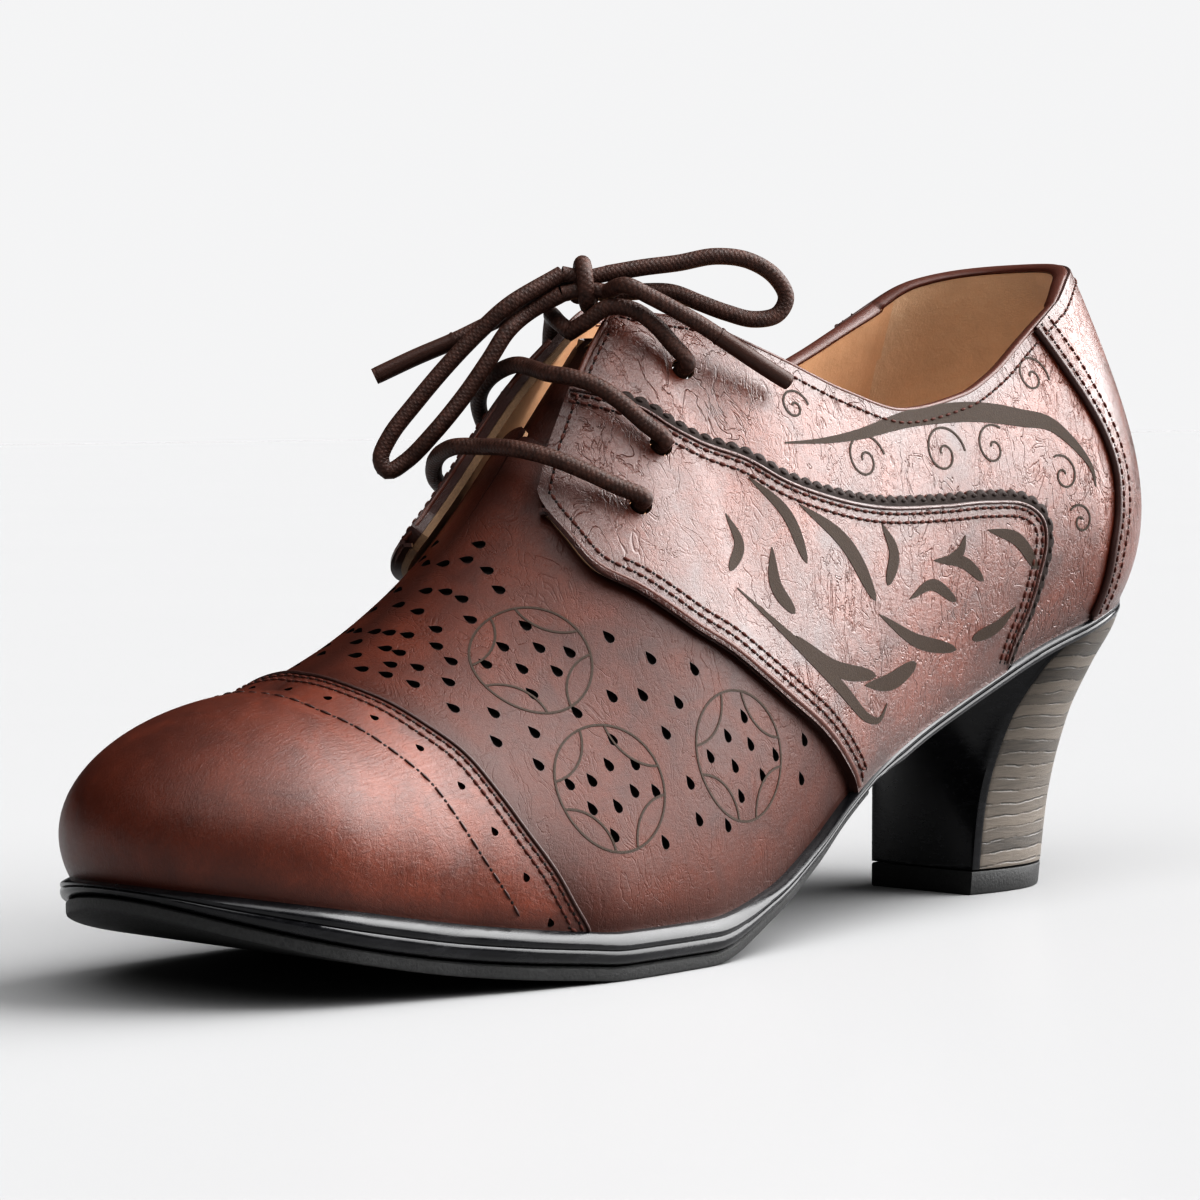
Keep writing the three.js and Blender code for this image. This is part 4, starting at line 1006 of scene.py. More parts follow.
PERFORATIONS = [
    # along, share of the way up: the field of teardrop holes between cap and quarter
    [-0.182, 0.894], [-0.194, 0.894], [-0.203, 0.96], [-0.191, 0.819], [-0.194, 0.759], [-0.219, 0.874],
    [-0.225, 0.935], [-0.216, 0.819], [-0.241, 0.985], [-0.241, 0.899], [-0.222, 0.759], [-0.244, 0.809],
    [-0.253, 0.769], [-0.26, 0.859], [-0.265, 0.915], [-0.268, 0.965], [-0.278, 0.874], [-0.275, 0.829],
    [-0.281, 0.985], [-0.294, 0.93], [-0.303, 0.864], [-0.287, 0.814], [-0.275, 0.754], [-0.253, 0.709],
    [-0.296, 0.794], [-0.287, 0.719], [-0.265, 0.668], [-0.275, 0.603], [-0.25, 0.543], [-0.26, 0.482],
    [-0.229, 0.462], [-0.191, 0.452], [-0.237, 0.397], [-0.145, 0.513], [-0.12, 0.432], [-0.086, 0.367],
    [-0.16, 0.432], [-0.136, 0.397], [-0.108, 0.347], [-0.126, 0.322], [-0.148, 0.161], [-0.114, 0.231],
    [-0.111, 0.171], [-0.08, 0.136], [0.022, 0.166], [0.016, 0.116],
    # inside the rings
    [-0.194, 0.653], [-0.216, 0.653], [-0.194, 0.598], [-0.176, 0.548], [-0.234, 0.648], [-0.213, 0.588],
    [-0.191, 0.538], [-0.216, 0.533], [-0.172, 0.372], [-0.182, 0.337], [-0.16, 0.312], [-0.2, 0.327],
    [-0.219, 0.337], [-0.167, 0.271], [-0.148, 0.251], [-0.207, 0.276], [-0.185, 0.261], [-0.194, 0.211],
    [-0.046, 0.256], [-0.067, 0.251], [-0.043, 0.216], [-0.089, 0.246], [-0.064, 0.206], [-0.015, 0.181],
    [-0.033, 0.166], [-0.061, 0.161],
]
RINGS = [[-0.203, 0.588, 10.7], [-0.185, 0.296, 11.2], [-0.055, 0.211, 11.4]]


def local_axes(s, v, lift=0.0):
    """Place, backward, up and outward directions on the form."""
    p = skin(s, v, lift)
    out = form_normal(s, v)
    up = skin(s, v + 0.01 if v < 0.98 else v, lift) - skin(s, v - 0.01, lift)
    up = unit(up - out * np.dot(up, out))
    back = unit(np.cross(up, out)) * (1 if s >= 0 else 1)
    if back[1] < 0:
        back = -back
    return p, back, up, out


def teardrop_cutter(name, holes, length, width):
    """One body per hole: a teardrop outline pushed through the leather."""
    turn = np.linspace(0, 2 * math.pi, 15)[:-1]
    outline = np.stack([np.sin(turn) * np.sin(turn / 2) ** 1.3 * width * 0.62, -np.cos(turn) * length / 2], -1)
    meshes, faces = [], []
    for s, v in holes:
        p, back, up, out = local_axes(s, v)
        axis = unit(up * 0.93 - back * 0.37)
        cross = np.cross(out, axis)
        base = len(meshes) * len(turn) * 2
        flat = p + outline[:, :1] * cross - outline[:, 1:] * axis
        meshes.append(np.vstack([flat - out * 3.0, flat + out * 3.0]))
        n = len(turn)
        faces.append([base + i for i in range(n)][::-1])
        faces.append([base + n + i for i in range(n)])
        faces += [[base + i, base + (i + 1) % n, base + n + (i + 1) % n, base + n + i] for i in range(n)]
    mesh = bpy.data.meshes.new(name)
    mesh.from_pydata(place(np.vstack(meshes)).tolist(), [], faces)
    obj = bpy.data.objects.new(name, mesh)
    bpy.context.collection.objects.link(obj)
    outward(obj)
    paint(obj, finish("dark"))
    return obj


def pierce(obj, cutter):
    apply_modifier(obj, "holes", "BOOLEAN", operation="DIFFERENCE", object=cutter, solver="MANIFOLD")
    bpy.data.objects.remove(cutter)
    smooth(obj)


def edge_points(s, v, offset=0.0, flared=False):
    return skin(s, v, offset, flared)


def cap_limit(s):
    line_y = lambda z: np.interp(z, CAP_LINE[:, 1], CAP_LINE[:, 0])
    return climb(np.asarray(s, float), lambda p: p[..., 1] - line_y(p[..., 2]))


def cap_edge_line():
    """The cap's back edge over the shoe, from the outer feather line to the inner one."""
    dense = np.linspace(float(station(-0.36)), float(station(-0.21)), 500)
    halves = []
    for side in (1, -1):
        high = cap_limit(side * dense)
        keep = (high > 0) & (high < 1)
        halves.append((dense[keep], high[keep]))
    (s, v), (far_s, far_v) = halves
    return np.concatenate([s[::-1], far_s]), np.concatenate([v[::-1], 2 - far_v])


def vamp_limit(s):
    side = np.where(s >= 0, 1, -1)[:, None]

    def test(p):
        x, y = p[..., 0], p[..., 1]
        edge = np.where(side > 0, VAMP_X[1](y) - x, x - VAMP_X[-1](y))
        return np.where(y > -0.126 * LENGTH, edge, -1)
    high = climb(s, test)
    # Under the quarters the vamp ends a little way in
    for side_ in (1, -1):
        own = (side_ * s > 0) & (np.abs(s) > quarter_first(side_))
        low, _ = quarter_limits(side_, s[own])
        y = form_point(s[own], 0)[:, 1]
        share = smoothstep(y, -0.11 * LENGTH, -0.085 * LENGTH)
        high[own] = high[own] * (1 - share) + (low + 0.14) * share
    return high


def mirrored(build_half, last):
    """Stations from one side round the toe to the other."""
    half = build_half(last)
    return np.concatenate([-half[:0:-1], half])


def make_vamp(sizes):
    end = float(station(0.125))
    dense = np.linspace(-end, end, 900)
    limit = vamp_limit(dense)
    s = even_stations(dense, limit, 0 * limit, count=560)
    high = np.interp(s, dense, limit)
    v = high[:, None] * np.linspace(0, 1, 110)[None, :]
    stations = np.repeat(s[:, None], v.shape[1], 1)
    cap_s = np.linspace(-float(station(-0.21)), float(station(-0.21)), 700)
    cap_high = cap_limit(cap_s)
    cap_edge = skin(cap_s, cap_high)
    quarter_edge = []
    for side in (1, -1):
        q = side * np.linspace(float(station(-0.14)), float(station(0.09)), 400)
        low, _ = quarter_limits(side, q)
        quarter_edge.append(skin(q, low))
    feather = skin(dense[::4], 0 * dense[::4])
    obj = hide("vamp", stations, v, 0.0, 1.0, [finish("vamp"), finish("edge"), finish("dark")], soft=0, skirt=0.7)
    holes = [(float(station(a)) * side, min(v_, 0.985)) for a, v_ in PERFORATIONS for side in (1, -1)
             if side > 0 or v_ < 0.97]
    # The vamp's darkening near the cap, the quarters and the sole line is painted shade under those parts
    near_edge(obj, [cap_edge, feather, *quarter_edge, skin(s, high)])
    pierce(obj, teardrop_cutter("hole_punch", holes, sizes.perforation / MM, sizes.perforation / MM * 0.7))
    put(obj, "upper_leather", "upper")
    inner = np.repeat(s[:, None], 40, 1)
    lining = hide("vamp_lining", inner, high[:, None] * np.linspace(0, 1, 40)[None, :], -1.02, 0.86,
                  [finish("dark"), finish("lining"), finish("lining")], soft=0)
    put(lining, "lining_leather", "upper")

    keep = cap_high > 0
    reach = cap_s[keep]
    s = even_stations(reach, cap_high[keep], 0 * reach, count=420)
    high = np.interp(s, reach, cap_high[keep])
    v = high[:, None] * np.linspace(0, 1, 90)[None, :]
    line = drawn_in(*cap_edge_line(), OVERLAY, False, 5.4)
    p = skin(*line, OVERLAY)
    reach = np.concatenate([[0], np.cumsum(np.linalg.norm(np.diff(p, axis=0), axis=1))])
    at = np.arange(4.0, reach[-1] - 2.0, 9.2)
    pins = list(zip(*wrapped(np.interp(at, reach, line[0]), np.interp(at, reach, line[1]))))
    cap = hide("toe_cap", np.repeat(s[:, None], v.shape[1], 1), v, OVERLAY, OVERLAY - 0.03,
               [finish("cap"), finish("edge"), finish("dark")], soft=0,
               edges=[skin(s, high, OVERLAY), skin(s, 0 * high, OVERLAY)], skirt=0.7,
               cutter=teardrop_cutter("pin_punch", pins, 1.7, 1.4))
    put(cap, "upper_leather", "upper")


def eyelet_drill(side, size):
    """Three round bodies through the leather at the eyelets of one side."""
    drills = []
    for k in range(len(EYELETS)):
        s, v, point, normal = eyelet_at(side, k)
        deselect()
        turn = Vector(normal).to_track_quat("Z", "Y").to_euler()
        bpy.ops.mesh.primitive_cylinder_add(vertices=24, radius=size / 2 * MM, depth=16 * MM, location=place(point), rotation=turn)
        drills.append(bpy.context.object)
    drill = joined("eyelet_drill", drills)
    drill.data.transform(drill.matrix_world)
    drill.matrix_world = Matrix()
    paint(drill, finish("dark"))
    return drill


# Quarters ------------------------------------------------------------------------

def quarter_grid(side, count, rows, last=3.0, top=None):
    first = quarter_first(side)
    dense = first + (last - first) * np.linspace(0, 1, 900) ** 1.6
    low, high = quarter_limits(side, dense)
    if top is not None:
        high = np.maximum(np.minimum(high, top(side, side * dense)), low)
    run = even_stations(dense, low, high, count=count)
    s, low, high = side * run, np.interp(run, dense, low), np.interp(run, dense, high)
    share = np.linspace(0, 1, rows)[None, :]
    return s, low, high, np.repeat(s[:, None], rows, 1), low[:, None] * (1 - share) + high[:, None] * share


def panel_top(side, s):
    return climb(s, lambda p: np.where(p[..., 1] < PANEL_END, p[..., 2] - PANEL_LINE(p[..., 1]), 1))


NAP_START = 0.385


def napped(lining):
    """The brushed lining round the heel, behind its upright seam."""
    lining.data.materials.append(finish("nap"))
    start = place([0, NAP_START * LENGTH, 0])[1]
    for face in lining.data.polygons:
        if face.material_index and face.center.y > start:
            face.material_index = 3


def make_quarters(sizes):
    for side, word in ((1, "outer"), (-1, "inner")):
        s, low, high, ss, vv = quarter_grid(side, 420, 120)
        rim = [skin(s, low, OVERLAY, True), skin(s, high, OVERLAY, True)]
        obj = hide(f"quarter_{word}", ss, vv, OVERLAY, 1.5, [finish("quarter"), finish("edge"), finish("lining")],
                   True, 0.3, rim, 0.7, eyelet_drill(side, EYELET))
        put(obj, "upper_leather", "upper")
        some = np.ix_(np.unique(np.r_[0:len(s):2, len(s) - 1]), np.unique(np.r_[0:120:3, 119]))
        lining = hide(f"lining_{word}", ss[some], vv[some], -0.65, 1.3, [finish("dark"), finish("lining_edge"), finish("lining")],
                      True, 0, None, 0, eyelet_drill(side, EYELET * 0.95))
        napped(lining)
        put(lining, "lining_leather", "upper")
        # The lower panel with its own edge
        last = float(station(PANEL_END / LENGTH)) - 0.002
        s, low, high, ss, vv = quarter_grid(side, 380, 90, last, panel_top)
        back = np.where(form_point(s, 0.3 + 0 * s)[:, 1] > 0.27 * LENGTH,
                        climb(s, lambda p: p[..., 2] - PANEL_BACK(p[..., 1])), 0)
        low = np.minimum(np.maximum(low, back), high)
        share = np.linspace(0, 1, 90)[None, :]
        vv = low[:, None] * (1 - share) + high[:, None] * share
        rim = [skin(s, low, PANEL, True), skin(s, high, PANEL, True)]
        obj = hide(f"panel_{word}", ss, vv, PANEL, PANEL - OVERLAY + 0.1, [finish("panel"), finish("edge"), finish("dark")],
                   True, 0.3, rim, 0.7, eyelet_drill(side, EYELET))
        put(obj, "upper_leather", "upper")
    make_back_strip()
    make_binding()


def strip_front(share, side):
    """Station where the back strip starts, at a share of the way to the collar."""
    run = np.linspace(1.55, 3.0, 700)
    _, high = quarter_limits(side, side * run)
    p = skin(side * run, high * share, OVERLAY)
    beyond = p[:, 1] - np.interp(p[:, 2], STRIP_LINE[:, 1], STRIP_LINE[:, 0])
    at = int(np.argmax(beyond > 0))
    part = -beyond[at - 1] / (beyond[at] - beyond[at - 1])
    return run[at - 1] + part * (run[at] - run[at - 1])


def make_back_strip():
    shares = np.linspace(0, 1, 100)
    halves = []
    for side in (1, -1):
        start = np.array([strip_front(share, side) for share in shares])
        run = start[:, None] + (3.0 - start[:, None]) * np.linspace(0, 1, 60)[None, :]
        dense = np.linspace(1.5, 3, 1200)
        _, high = quarter_limits(side, side * dense)
        v = np.interp(run, dense, high) * shares[:, None]
        halves.append(skin(side * run, v, PANEL))
    points = np.concatenate([halves[0], halves[1][:, ::-1][:, 1:]], 1)
    points = np.concatenate([points[:1] - [0, 0, 0.7], points], 0)
    obj = sheet("back_strip", points)
    merge(obj)
    paint(obj, finish("quarter"), finish("edge"), finish("dark"))
    apply_modifier(obj, "wall", "SOLIDIFY", thickness=(PANEL - OVERLAY + 0.1) * MM, offset=-1, use_rim=True,
                   material_offset=2, material_offset_rim=1)
    apply_modifier(obj, "soft_edge", "BEVEL", width=0.3 * MM, segments=2, limit_method="ANGLE", angle_limit=math.radians(55))
    near_edge(obj, [halves[0][:, 0], halves[1][:, 0], points[-1], points[1]])
    smooth(obj)
    put(obj, "upper_leather", "upper")


def make_binding():
    """Dark piping over the raw edge of the collar, from throat to throat."""
    rings = []
    for side in (1, -1):
        dense = side * np.linspace(float(station(-0.045)), 3.0, 1500)
        _, high = quarter_limits(side, dense)
        s = side * even_stations(np.abs(dense), high, count=260)
        _, high = quarter_limits(side, s)
        middle = (OVERLAY - WALL) / 2
        centre, out = skin(s, high, middle, True), form_normal(s, high)
        rings.append((centre, out))
    centre = np.vstack([rings[0][0], rings[1][0][::-1][1:]])
    out = np.vstack([rings[0][1], rings[1][1][::-1][1:]])
    along = unit(np.gradient(centre, axis=0))
    up = unit(np.cross(out, along))
    up = up * np.sign(up[:, 2:3])
    turn = np.linspace(0, 2 * math.pi, 17)
    half_wide, half_high = (OVERLAY + WALL) / 2 + 0.12, 0.75
    ring = centre[:, None] + np.cos(turn)[None, :, None] * out[:, None] * half_wide + (
        np.sin(turn)[None, :, None] * up[:, None] * half_high)
    obj = sheet("collar_binding", ring)
    merge(obj)
    edit(obj, close_ends)
    outward(obj)
    paint(obj, finish("rolled"))
    smooth(obj, 60)
    put(obj, "upper_leather", "upper")


# Tongue and insole ----------------------------------------------------------------

TONGUE = [
    [0.16, -0.19], [0.215, -0.16], [0.225, -0.12], [0.215, -0.09], [0.18, -0.068], [0.1, -0.054],
    [-0.02, -0.05], [-0.14, -0.053], [-0.23, -0.066], [-0.285, -0.088], [-0.31, -0.12], [-0.295, -0.155], [-0.24, -0.19],
]


def over_plan(x, y, offset):
    """The skin above places in plan."""
    s = station(y / LENGTH)
    lean = LEAN(y)
    side = np.where(x >= lean, 1, -1)
    p = form_point((side * s)[:, None], RUN[None, 70:])
    reach = np.abs(p[..., 0] - lean[:, None])
    v = np.array([np.interp(-abs(a - b), -r, RUN[70:]) for a, b, r in zip(x, lean, reach)])
    return skin(side * s, v, offset)


def make_tongue(sizes):
    rows = []
    ys = np.linspace(-0.19, -0.0505, 70) * LENGTH
    outer = np.array(TONGUE[:6])
    inner = np.array(TONGUE[6:])[::-1]
    for y in ys:
        share = y / LENGTH
        right = np.interp(share, outer[:, 1], outer[:, 0]) * BALL
        left = np.interp(share, inner[:, 1], inner[:, 0]) * BALL
        x = np.linspace(left, right, 50)
        rows.append(over_plan(x, np.full(50, y), -WALL - 0.3))
    obj = sheet("tongue", np.array(rows))
    paint(obj, finish("tongue"), finish("edge"), finish("lining"))
    apply_modifier(obj, "wall", "SOLIDIFY", thickness=1.9 * MM, offset=-1, use_rim=True, material_offset=2, material_offset_rim=1)
    apply_modifier(obj, "soft_edge", "BEVEL", width=0.6 * MM, segments=3, limit_method="ANGLE", angle_limit=math.radians(55))
    near_edge(obj, [np.array([r[0] for r in rows]), np.array([r[-1] for r in rows])])
    smooth(obj)
    put(obj, "upper_leather", "tongue")


def outline(s, grow, height):
    """Outline of the sole grown outward, at a height; s runs as for the form."""
    s = np.asarray(s, float)
    side, u, step = np.where(s >= 0, 1.0, -1.0), np.abs(s), 0.01
    p = form_point(s, 0 * s)
    ahead, behind = form_point(side * np.minimum(u + step, 3), 0 * s), form_point(side * np.maximum(u - step, 0), 0 * s)
    normal = unit(np.stack([(ahead - behind)[..., 1], (behind - ahead)[..., 0], 0 * s], -1) * side[..., None])
    normal = np.where((u <= 0)[..., None], [0, -1.0, 0], np.where((u >= 3)[..., None], [0, 1.0, 0], normal))
    q = p + normal * np.asarray(grow)[..., None]
    return np.stack([q[..., 0], q[..., 1], height(q[..., 1])], -1)


LOOP_SIDE = np.concatenate([np.linspace(0, 1, 49)[:-1], np.linspace(1, 2, 141)[:-1], np.linspace(2, 3, 49)])
LOOP = np.concatenate([LOOP_SIDE, -LOOP_SIDE[-2:0:-1]])
TWIN = np.concatenate([-LOOP_SIDE, LOOP_SIDE[-2:0:-1]])
EDGE = columns([
    [-0.5, 0.03], [-0.3, 0.034], [-0.1, 0.033], [0.05, 0.028], [0.2, 0.024], [0.35, 0.02], [0.5, 0.018],
], [LENGTH, BALL])[0]
TREAD = columns([[-0.5, 0.019], [-0.2, 0.02], [0, 0.015], [0.12, 0.0085], [0.5, 0.0085]], [LENGTH, COLLAR])[0]
TREAD_END, TREAD_BLEND = 0.11 * LENGTH, 0.15 * LENGTH
CLEARANCE = 0.3
INSOLE_THICK = 2.2
SEAT_GAP = 0.4


def ringed(name, rings, finishes, lids=4):
    """A closed body from rings of the loop, lowest first, with its top and bottom filled to the middle."""
    def lid(ring):
        twin = ring[np.r_[0, np.arange(len(ring) - 1, 0, -1)]]
        middle = (ring + twin) / 2
        return [ring + (middle - ring) * t for t in np.linspace(0, 1, lids + 1)[1:]]
    rows = lid(rings[0])[::-1] + list(rings) + lid(rings[-1])
    points = np.array(rows)
    points = np.concatenate([points, points[:, :1]], 1)
    obj = sheet(name, points)
    merge(obj)
    outward(obj)
    paint(obj, *finishes)
    smooth(obj, 35)
    return obj


def make_insole(sizes):
    rings = []
    for grow, rise in ((-0.6, 0), (0, 0.5), (0, INSOLE_THICK - 0.6), (-0.25, INSOLE_THICK - 0.15), (-0.8, INSOLE_THICK)):
        rings.append(outline(LOOP, 0 * LOOP - WALL - 0.6 + grow, lambda y, r=rise: FEATHER(y) + r))
    obj = ringed("insole", rings, [finish("lining")], 8)
    put(obj, "lining_leather", "insole")


# Sole and heel ----------------------------------------------------------------------

def edge_width(s):
    return EDGE(form_point(s, 0 * s)[:, 1])


def make_sole(sizes):
    def tread_top(y):
        return UNDERSIDE(y) + TREAD(y)

    def under(y):
        share = np.clip((TREAD_BLEND - y) / (TREAD_BLEND - TREAD_END), 0, 1)
        return UNDERSIDE(y) + share * (TREAD(y) + CLEARANCE)

    def top(y):
        return FEATHER(y) - SEAT_GAP
    # The edge's profile, from below: share of the thickness, and millimetres in or out
    profile = [(0.0, -1.2), (0.02, -0.6), (0.08, -0.2), (0.2, 0.0), (0.34, 0.0), (0.42, -0.12), (0.46, -0.35),
               (0.5, -0.12), (0.58, 0.0), (0.66, -0.02), (0.74, -0.22), (0.84, -0.7), (0.95, -1.3), (1.0, -1.7)]
    rings = []
    for share, grow in profile:
        rings.append(outline(LOOP, edge_width(LOOP) + grow, lambda y, t=share: under(y) + (top(y) - under(y)) * t))
    obj = ringed("sole_edge", rings, [finish("sole")])
    put(obj, "sole_gloss", "sole_rand")
    keep = form_point(LOOP_SIDE, 0 * LOOP_SIDE)[:, 1] < TREAD_END - CLEARANCE
    side_run = LOOP_SIDE[keep]
    loop = np.concatenate([side_run, -side_run[::-1][:-1]])
    rings = []
    for grow, at, rise in ((-0.5, UNDERSIDE, 0.0), (-0.12, UNDERSIDE, 0.15), (0.0, UNDERSIDE, 0.5), (0.0, tread_top, -0.4), (-0.4, tread_top, 0.0)):
        rings.append(outline(loop, edge_width(loop) - 0.9 + grow, lambda y, f=at, r=rise: f(y) + r))
    obj = ringed("outsole", rings, [finish("rubber")], 8)
    put(obj, "tread_rubber", "outsole")


HEEL_SECTIONS = [
    # height, corner along, middle along, corner half width, widest along, half width, back
    [0, 0.315, 0.318, 0.156, 0.366, 0.175, 0.437],
    [0.14, 0.321, 0.315, 0.168, 0.37, 0.196, 0.445],
    [0.27, 0.337, 0.303, 0.207, 0.376, 0.244, 0.46],
    [0.355, 0.36, 0.28, 0.264, 0.388, 0.3, 0.474],
    [0.42, 0.387, 0.245, 0.33, 0.4, 0.347, 0.488],
    [0.49, 0.4, 0.2, 0.365, 0.406, 0.375, 0.498],
]
CORNER, MIDDLE, CORNER_HALF, WIDEST, HALF, REAR = columns(HEEL_SECTIONS, [COLLAR, LENGTH, LENGTH, BALL, LENGTH, BALL, LENGTH])
EDGE_BAND = 1.5


def heel_half(t, z, inset):
    """A point of half a heel section: t runs 0 to 1 over the breast, to 2 along the side, to 3 round the back."""
    s = np.clip(t, 0, 1)
    x = (CORNER_HALF(z) - inset) * s
    y = MIDDLE(z) + (CORNER(z) - MIDDLE(z)) * s * s
    s = np.clip(t - 1, 0, 1)
    side_x = CORNER_HALF(z) + (HALF(z) - CORNER_HALF(z)) * (1 - (1 - s) ** 2) - inset
    side_y = CORNER(z) + (WIDEST(z) - CORNER(z)) * s
    angle = np.clip(t - 2, 0, 1) * math.pi / 2
    back_x = (HALF(z) - inset) * np.cos(angle)
    back_y = WIDEST(z) + (REAR(z) - inset - WIDEST(z)) * np.sin(angle)
    x = np.where(t <= 1, x, np.where(t <= 2, side_x, back_x))
    y = np.where(t <= 1, y, np.where(t <= 2, side_y, back_y))
    return np.stack(np.broadcast_arrays(x, y, z), -1)


def heel_grid(ts, side, inset, lowest, rows, gap=0.1):
    """Rows of a heel wall from a height up to the sole's underside."""
    zs = np.linspace(lowest, 0.49 * COLLAR, 400)
    grid = []
    for t, i in zip(ts, np.broadcast_to(inset, len(ts))):
        p = heel_half(np.full(400, t), zs, i)
        top = np.interp(0, p[:, 2] - UNDERSIDE(p[:, 1]) + gap, zs)
        z = np.linspace(lowest, top, rows)
        line = heel_half(np.full(rows, t), z, i)
        line[:, 0] *= side
        grid.append(line)
    return np.array(grid)


def make_heel(sizes):
    base = LIFT + CLEARANCE
    band = 1 + EDGE_BAND / ((WIDEST(0.2 * COLLAR) - CORNER(0.2 * COLLAR)))
    around = np.concatenate([np.linspace(0, 1, 17)[:-1], np.linspace(1, band, 5)[:-1]])
    rear = np.concatenate([np.linspace(band, 2, 14)[:-1], np.linspace(2, 3, 30)])
    ts = np.concatenate([around, rear])
    inset = np.concatenate([0 * around, 0 * rear + WRAP])
    ts = np.concatenate([around, [band], rear])
    inset = np.concatenate([0 * around, [0], 0 * rear + WRAP])
    right, left = heel_grid(ts, 1, inset, base, 60), heel_grid(ts, -1, inset, base, 60)
    ring = np.concatenate([right, left[::-1][1:-1]]).transpose(1, 0, 2)

    def lid(row):
        twin = row[np.r_[0, np.arange(len(row) - 1, 0, -1)]]
        middle = (row + twin) / 2
        return [row + (middle - row) * t for t in (0.5, 1.0)]
    points = np.array(lid(ring[0])[::-1] + list(ring) + lid(ring[-1]))
    points = np.concatenate([points, points[:, :1]], 1)
    block = sheet("heel_block", points)
    merge(block)
    outward(block)
    apply_modifier(block, "soft_edge", "BEVEL", width=0.35 * MM, segments=2, limit_method="ANGLE", angle_limit=math.radians(50))
    paint(block, finish("sole"))
    smooth(block)
    put(block, "sole_gloss", "heel_block")
    outer = np.concatenate([heel_grid(rear, 1, 0.0, base, 60), heel_grid(rear, -1, 0.0, base, 60)[::-1][1:]])
    wrap = sheet("heel_wrap", outer.transpose(1, 0, 2))
    merge(wrap)
    apply_modifier(wrap, "wall", "SOLIDIFY", thickness=(WRAP - 0.1) * MM, offset=-1, use_rim=True)
    apply_modifier(wrap, "soft_edge", "BEVEL", width=0.3 * MM, segments=2, limit_method="ANGLE", angle_limit=math.radians(55))
    paint(wrap, finish("stack"))
    smooth(wrap)
    put(wrap, "stacked_heel", "heel_wrap")
    ts = np.concatenate([np.linspace(0, 1, 17)[:-1], np.linspace(1, 2, 14)[:-1], np.linspace(2, 3, 30)])
    rows = []
    for grow, z in ((0.5, 0.0), (0.12, 0.15), (0.0, 0.5), (0.0, LIFT - 0.4), (0.12, LIFT - 0.1), (0.4, LIFT)):
        right = heel_half(ts, np.full(len(ts), z), grow)
        left = right * [-1, 1, 1]
        rows.append(np.concatenate([right, left[::-1][1:-1]]))
    points = np.array(lid(rows[0])[::-1] + rows + lid(rows[-1]))
    points = np.concatenate([points, points[:, :1]], 1)
    lift = sheet("top_lift", points)
    merge(lift)
    outward(lift)
    paint(lift, finish("rubber"))
    smooth(lift)
    put(lift, "tread_rubber", "top_lift")


# Seams, trim and ornament -------------------------------------------------------------

def bead():
    """Corners and faces of one small round body."""
    deselect()
    bpy.ops.mesh.primitive_uv_sphere_add(segments=6, ring_count=5, radius=0.5)
    obj = bpy.context.object
    points = np.array([tuple(corner.co) for corner in obj.data.vertices])
    faces = [tuple(face.vertices) for face in obj.data.polygons]
    bpy.data.objects.remove(obj)
    return points, faces


def repeated(name, places, size, material):
    """One bead copied to each place, stretched to its size along, across and outward."""
    points, faces = bead()
    centre, along, out = (np.concatenate(part) for part in zip(*places))
    across = np.cross(out, along)
    shape = points * size
    corners = centre[:, None] + shape[None, :, :1] * along[:, None] + shape[None, :, 1:2] * across[:, None] + shape[None, :, 2:] * out[:, None]
    mesh = bpy.data.meshes.new(name)
    total = [[corner + k * len(points) for corner in face] for k in range(len(centre)) for face in faces]
    mesh.from_pydata(place(corners.reshape(-1, 3)).tolist(), [], total)
    obj = bpy.data.objects.new(name, mesh)
    bpy.context.collection.objects.link(obj)
    outward(obj)
    paint(obj, material)
    smooth(obj, 180)
    return obj


def spaced(line, offset, flared, pitch):
    """Places at an even pitch along a line on the skin, with their run and outward directions."""
    s, v = evened(*line, offset, flared, 400)
    return pitched(skin(s, v, offset, flared), form_normal(s, v), pitch)


def pitched(p, out, pitch):
    reach = np.concatenate([[0], np.cumsum(np.linalg.norm(np.diff(p, axis=0), axis=1))])
    count = max(int(reach[-1] / pitch), 2)
    at = (np.arange(count) + 0.5) * reach[-1] / count

    def pick(values):
        return np.stack([np.interp(at, reach, values[:, k]) for k in range(3)], -1)
    return pick(p), unit(pick(np.gradient(p, axis=0))), unit(pick(out))


def stitching(name, rows, long=1.5, wide=0.62, gap=2.1, key="thread"):
    """Rows of thread, each stitch lying between two needle holes."""
    threads, pricks = [], []
    for line, offset, flared in rows:
        p, along, out = pitched(*line, gap) if offset is None else spaced(line, offset, flared, gap)
        threads.append((p + out * 0.1, along, out))
        pricks.append((p + along * gap / 2, along, out))
    stitches = repeated("thread", threads, (long, wide, 0.46), finish(key))
    # Flat dark dots at the needle holes: painted shade, where the holes would be in shade
    holes = repeated("needle_hole_shade", pricks, (0.7, 0.56, 0.14), finish("dark"))
    return put(joined(name, [stitches, holes]), "seam_thread")


def beading(name, line, offset, flared, radius, key, sink=0.35):
    """A round edge lying half sunk in the skin; its radius may change along its run."""
    s, v = evened(*line, offset, flared, 220)
    radius = np.interp(np.linspace(0, 1, 220), np.linspace(0, 1, len(np.atleast_1d(radius))), np.atleast_1d(radius))
    centre = skin(s, v, offset, flared) + form_normal(s, v) * (radius * (1 - 2 * sink))[:, None]
    return put(tube(name, centre, radius, 10, finish(key)), "upper_leather")


def kept(side, rows, offset, flared):
    """The part of a side-view line that lies on the quarter."""
    s, v = on_side(side, rows, offset, flared)
    low, high = quarter_limits(side, s)
    miss = np.linalg.norm((skin(s, v, offset, flared) - np.c_[0 * rows[:, :1], rows])[:, 1:], axis=1)
    keep = (v < high - 0.004) & (v > low + 0.004) & (miss < 0.4)
    return s[keep], v[keep]


def panel_edge(side):
    return kept(side, seam(PANEL_TOP, 300), PANEL, True)


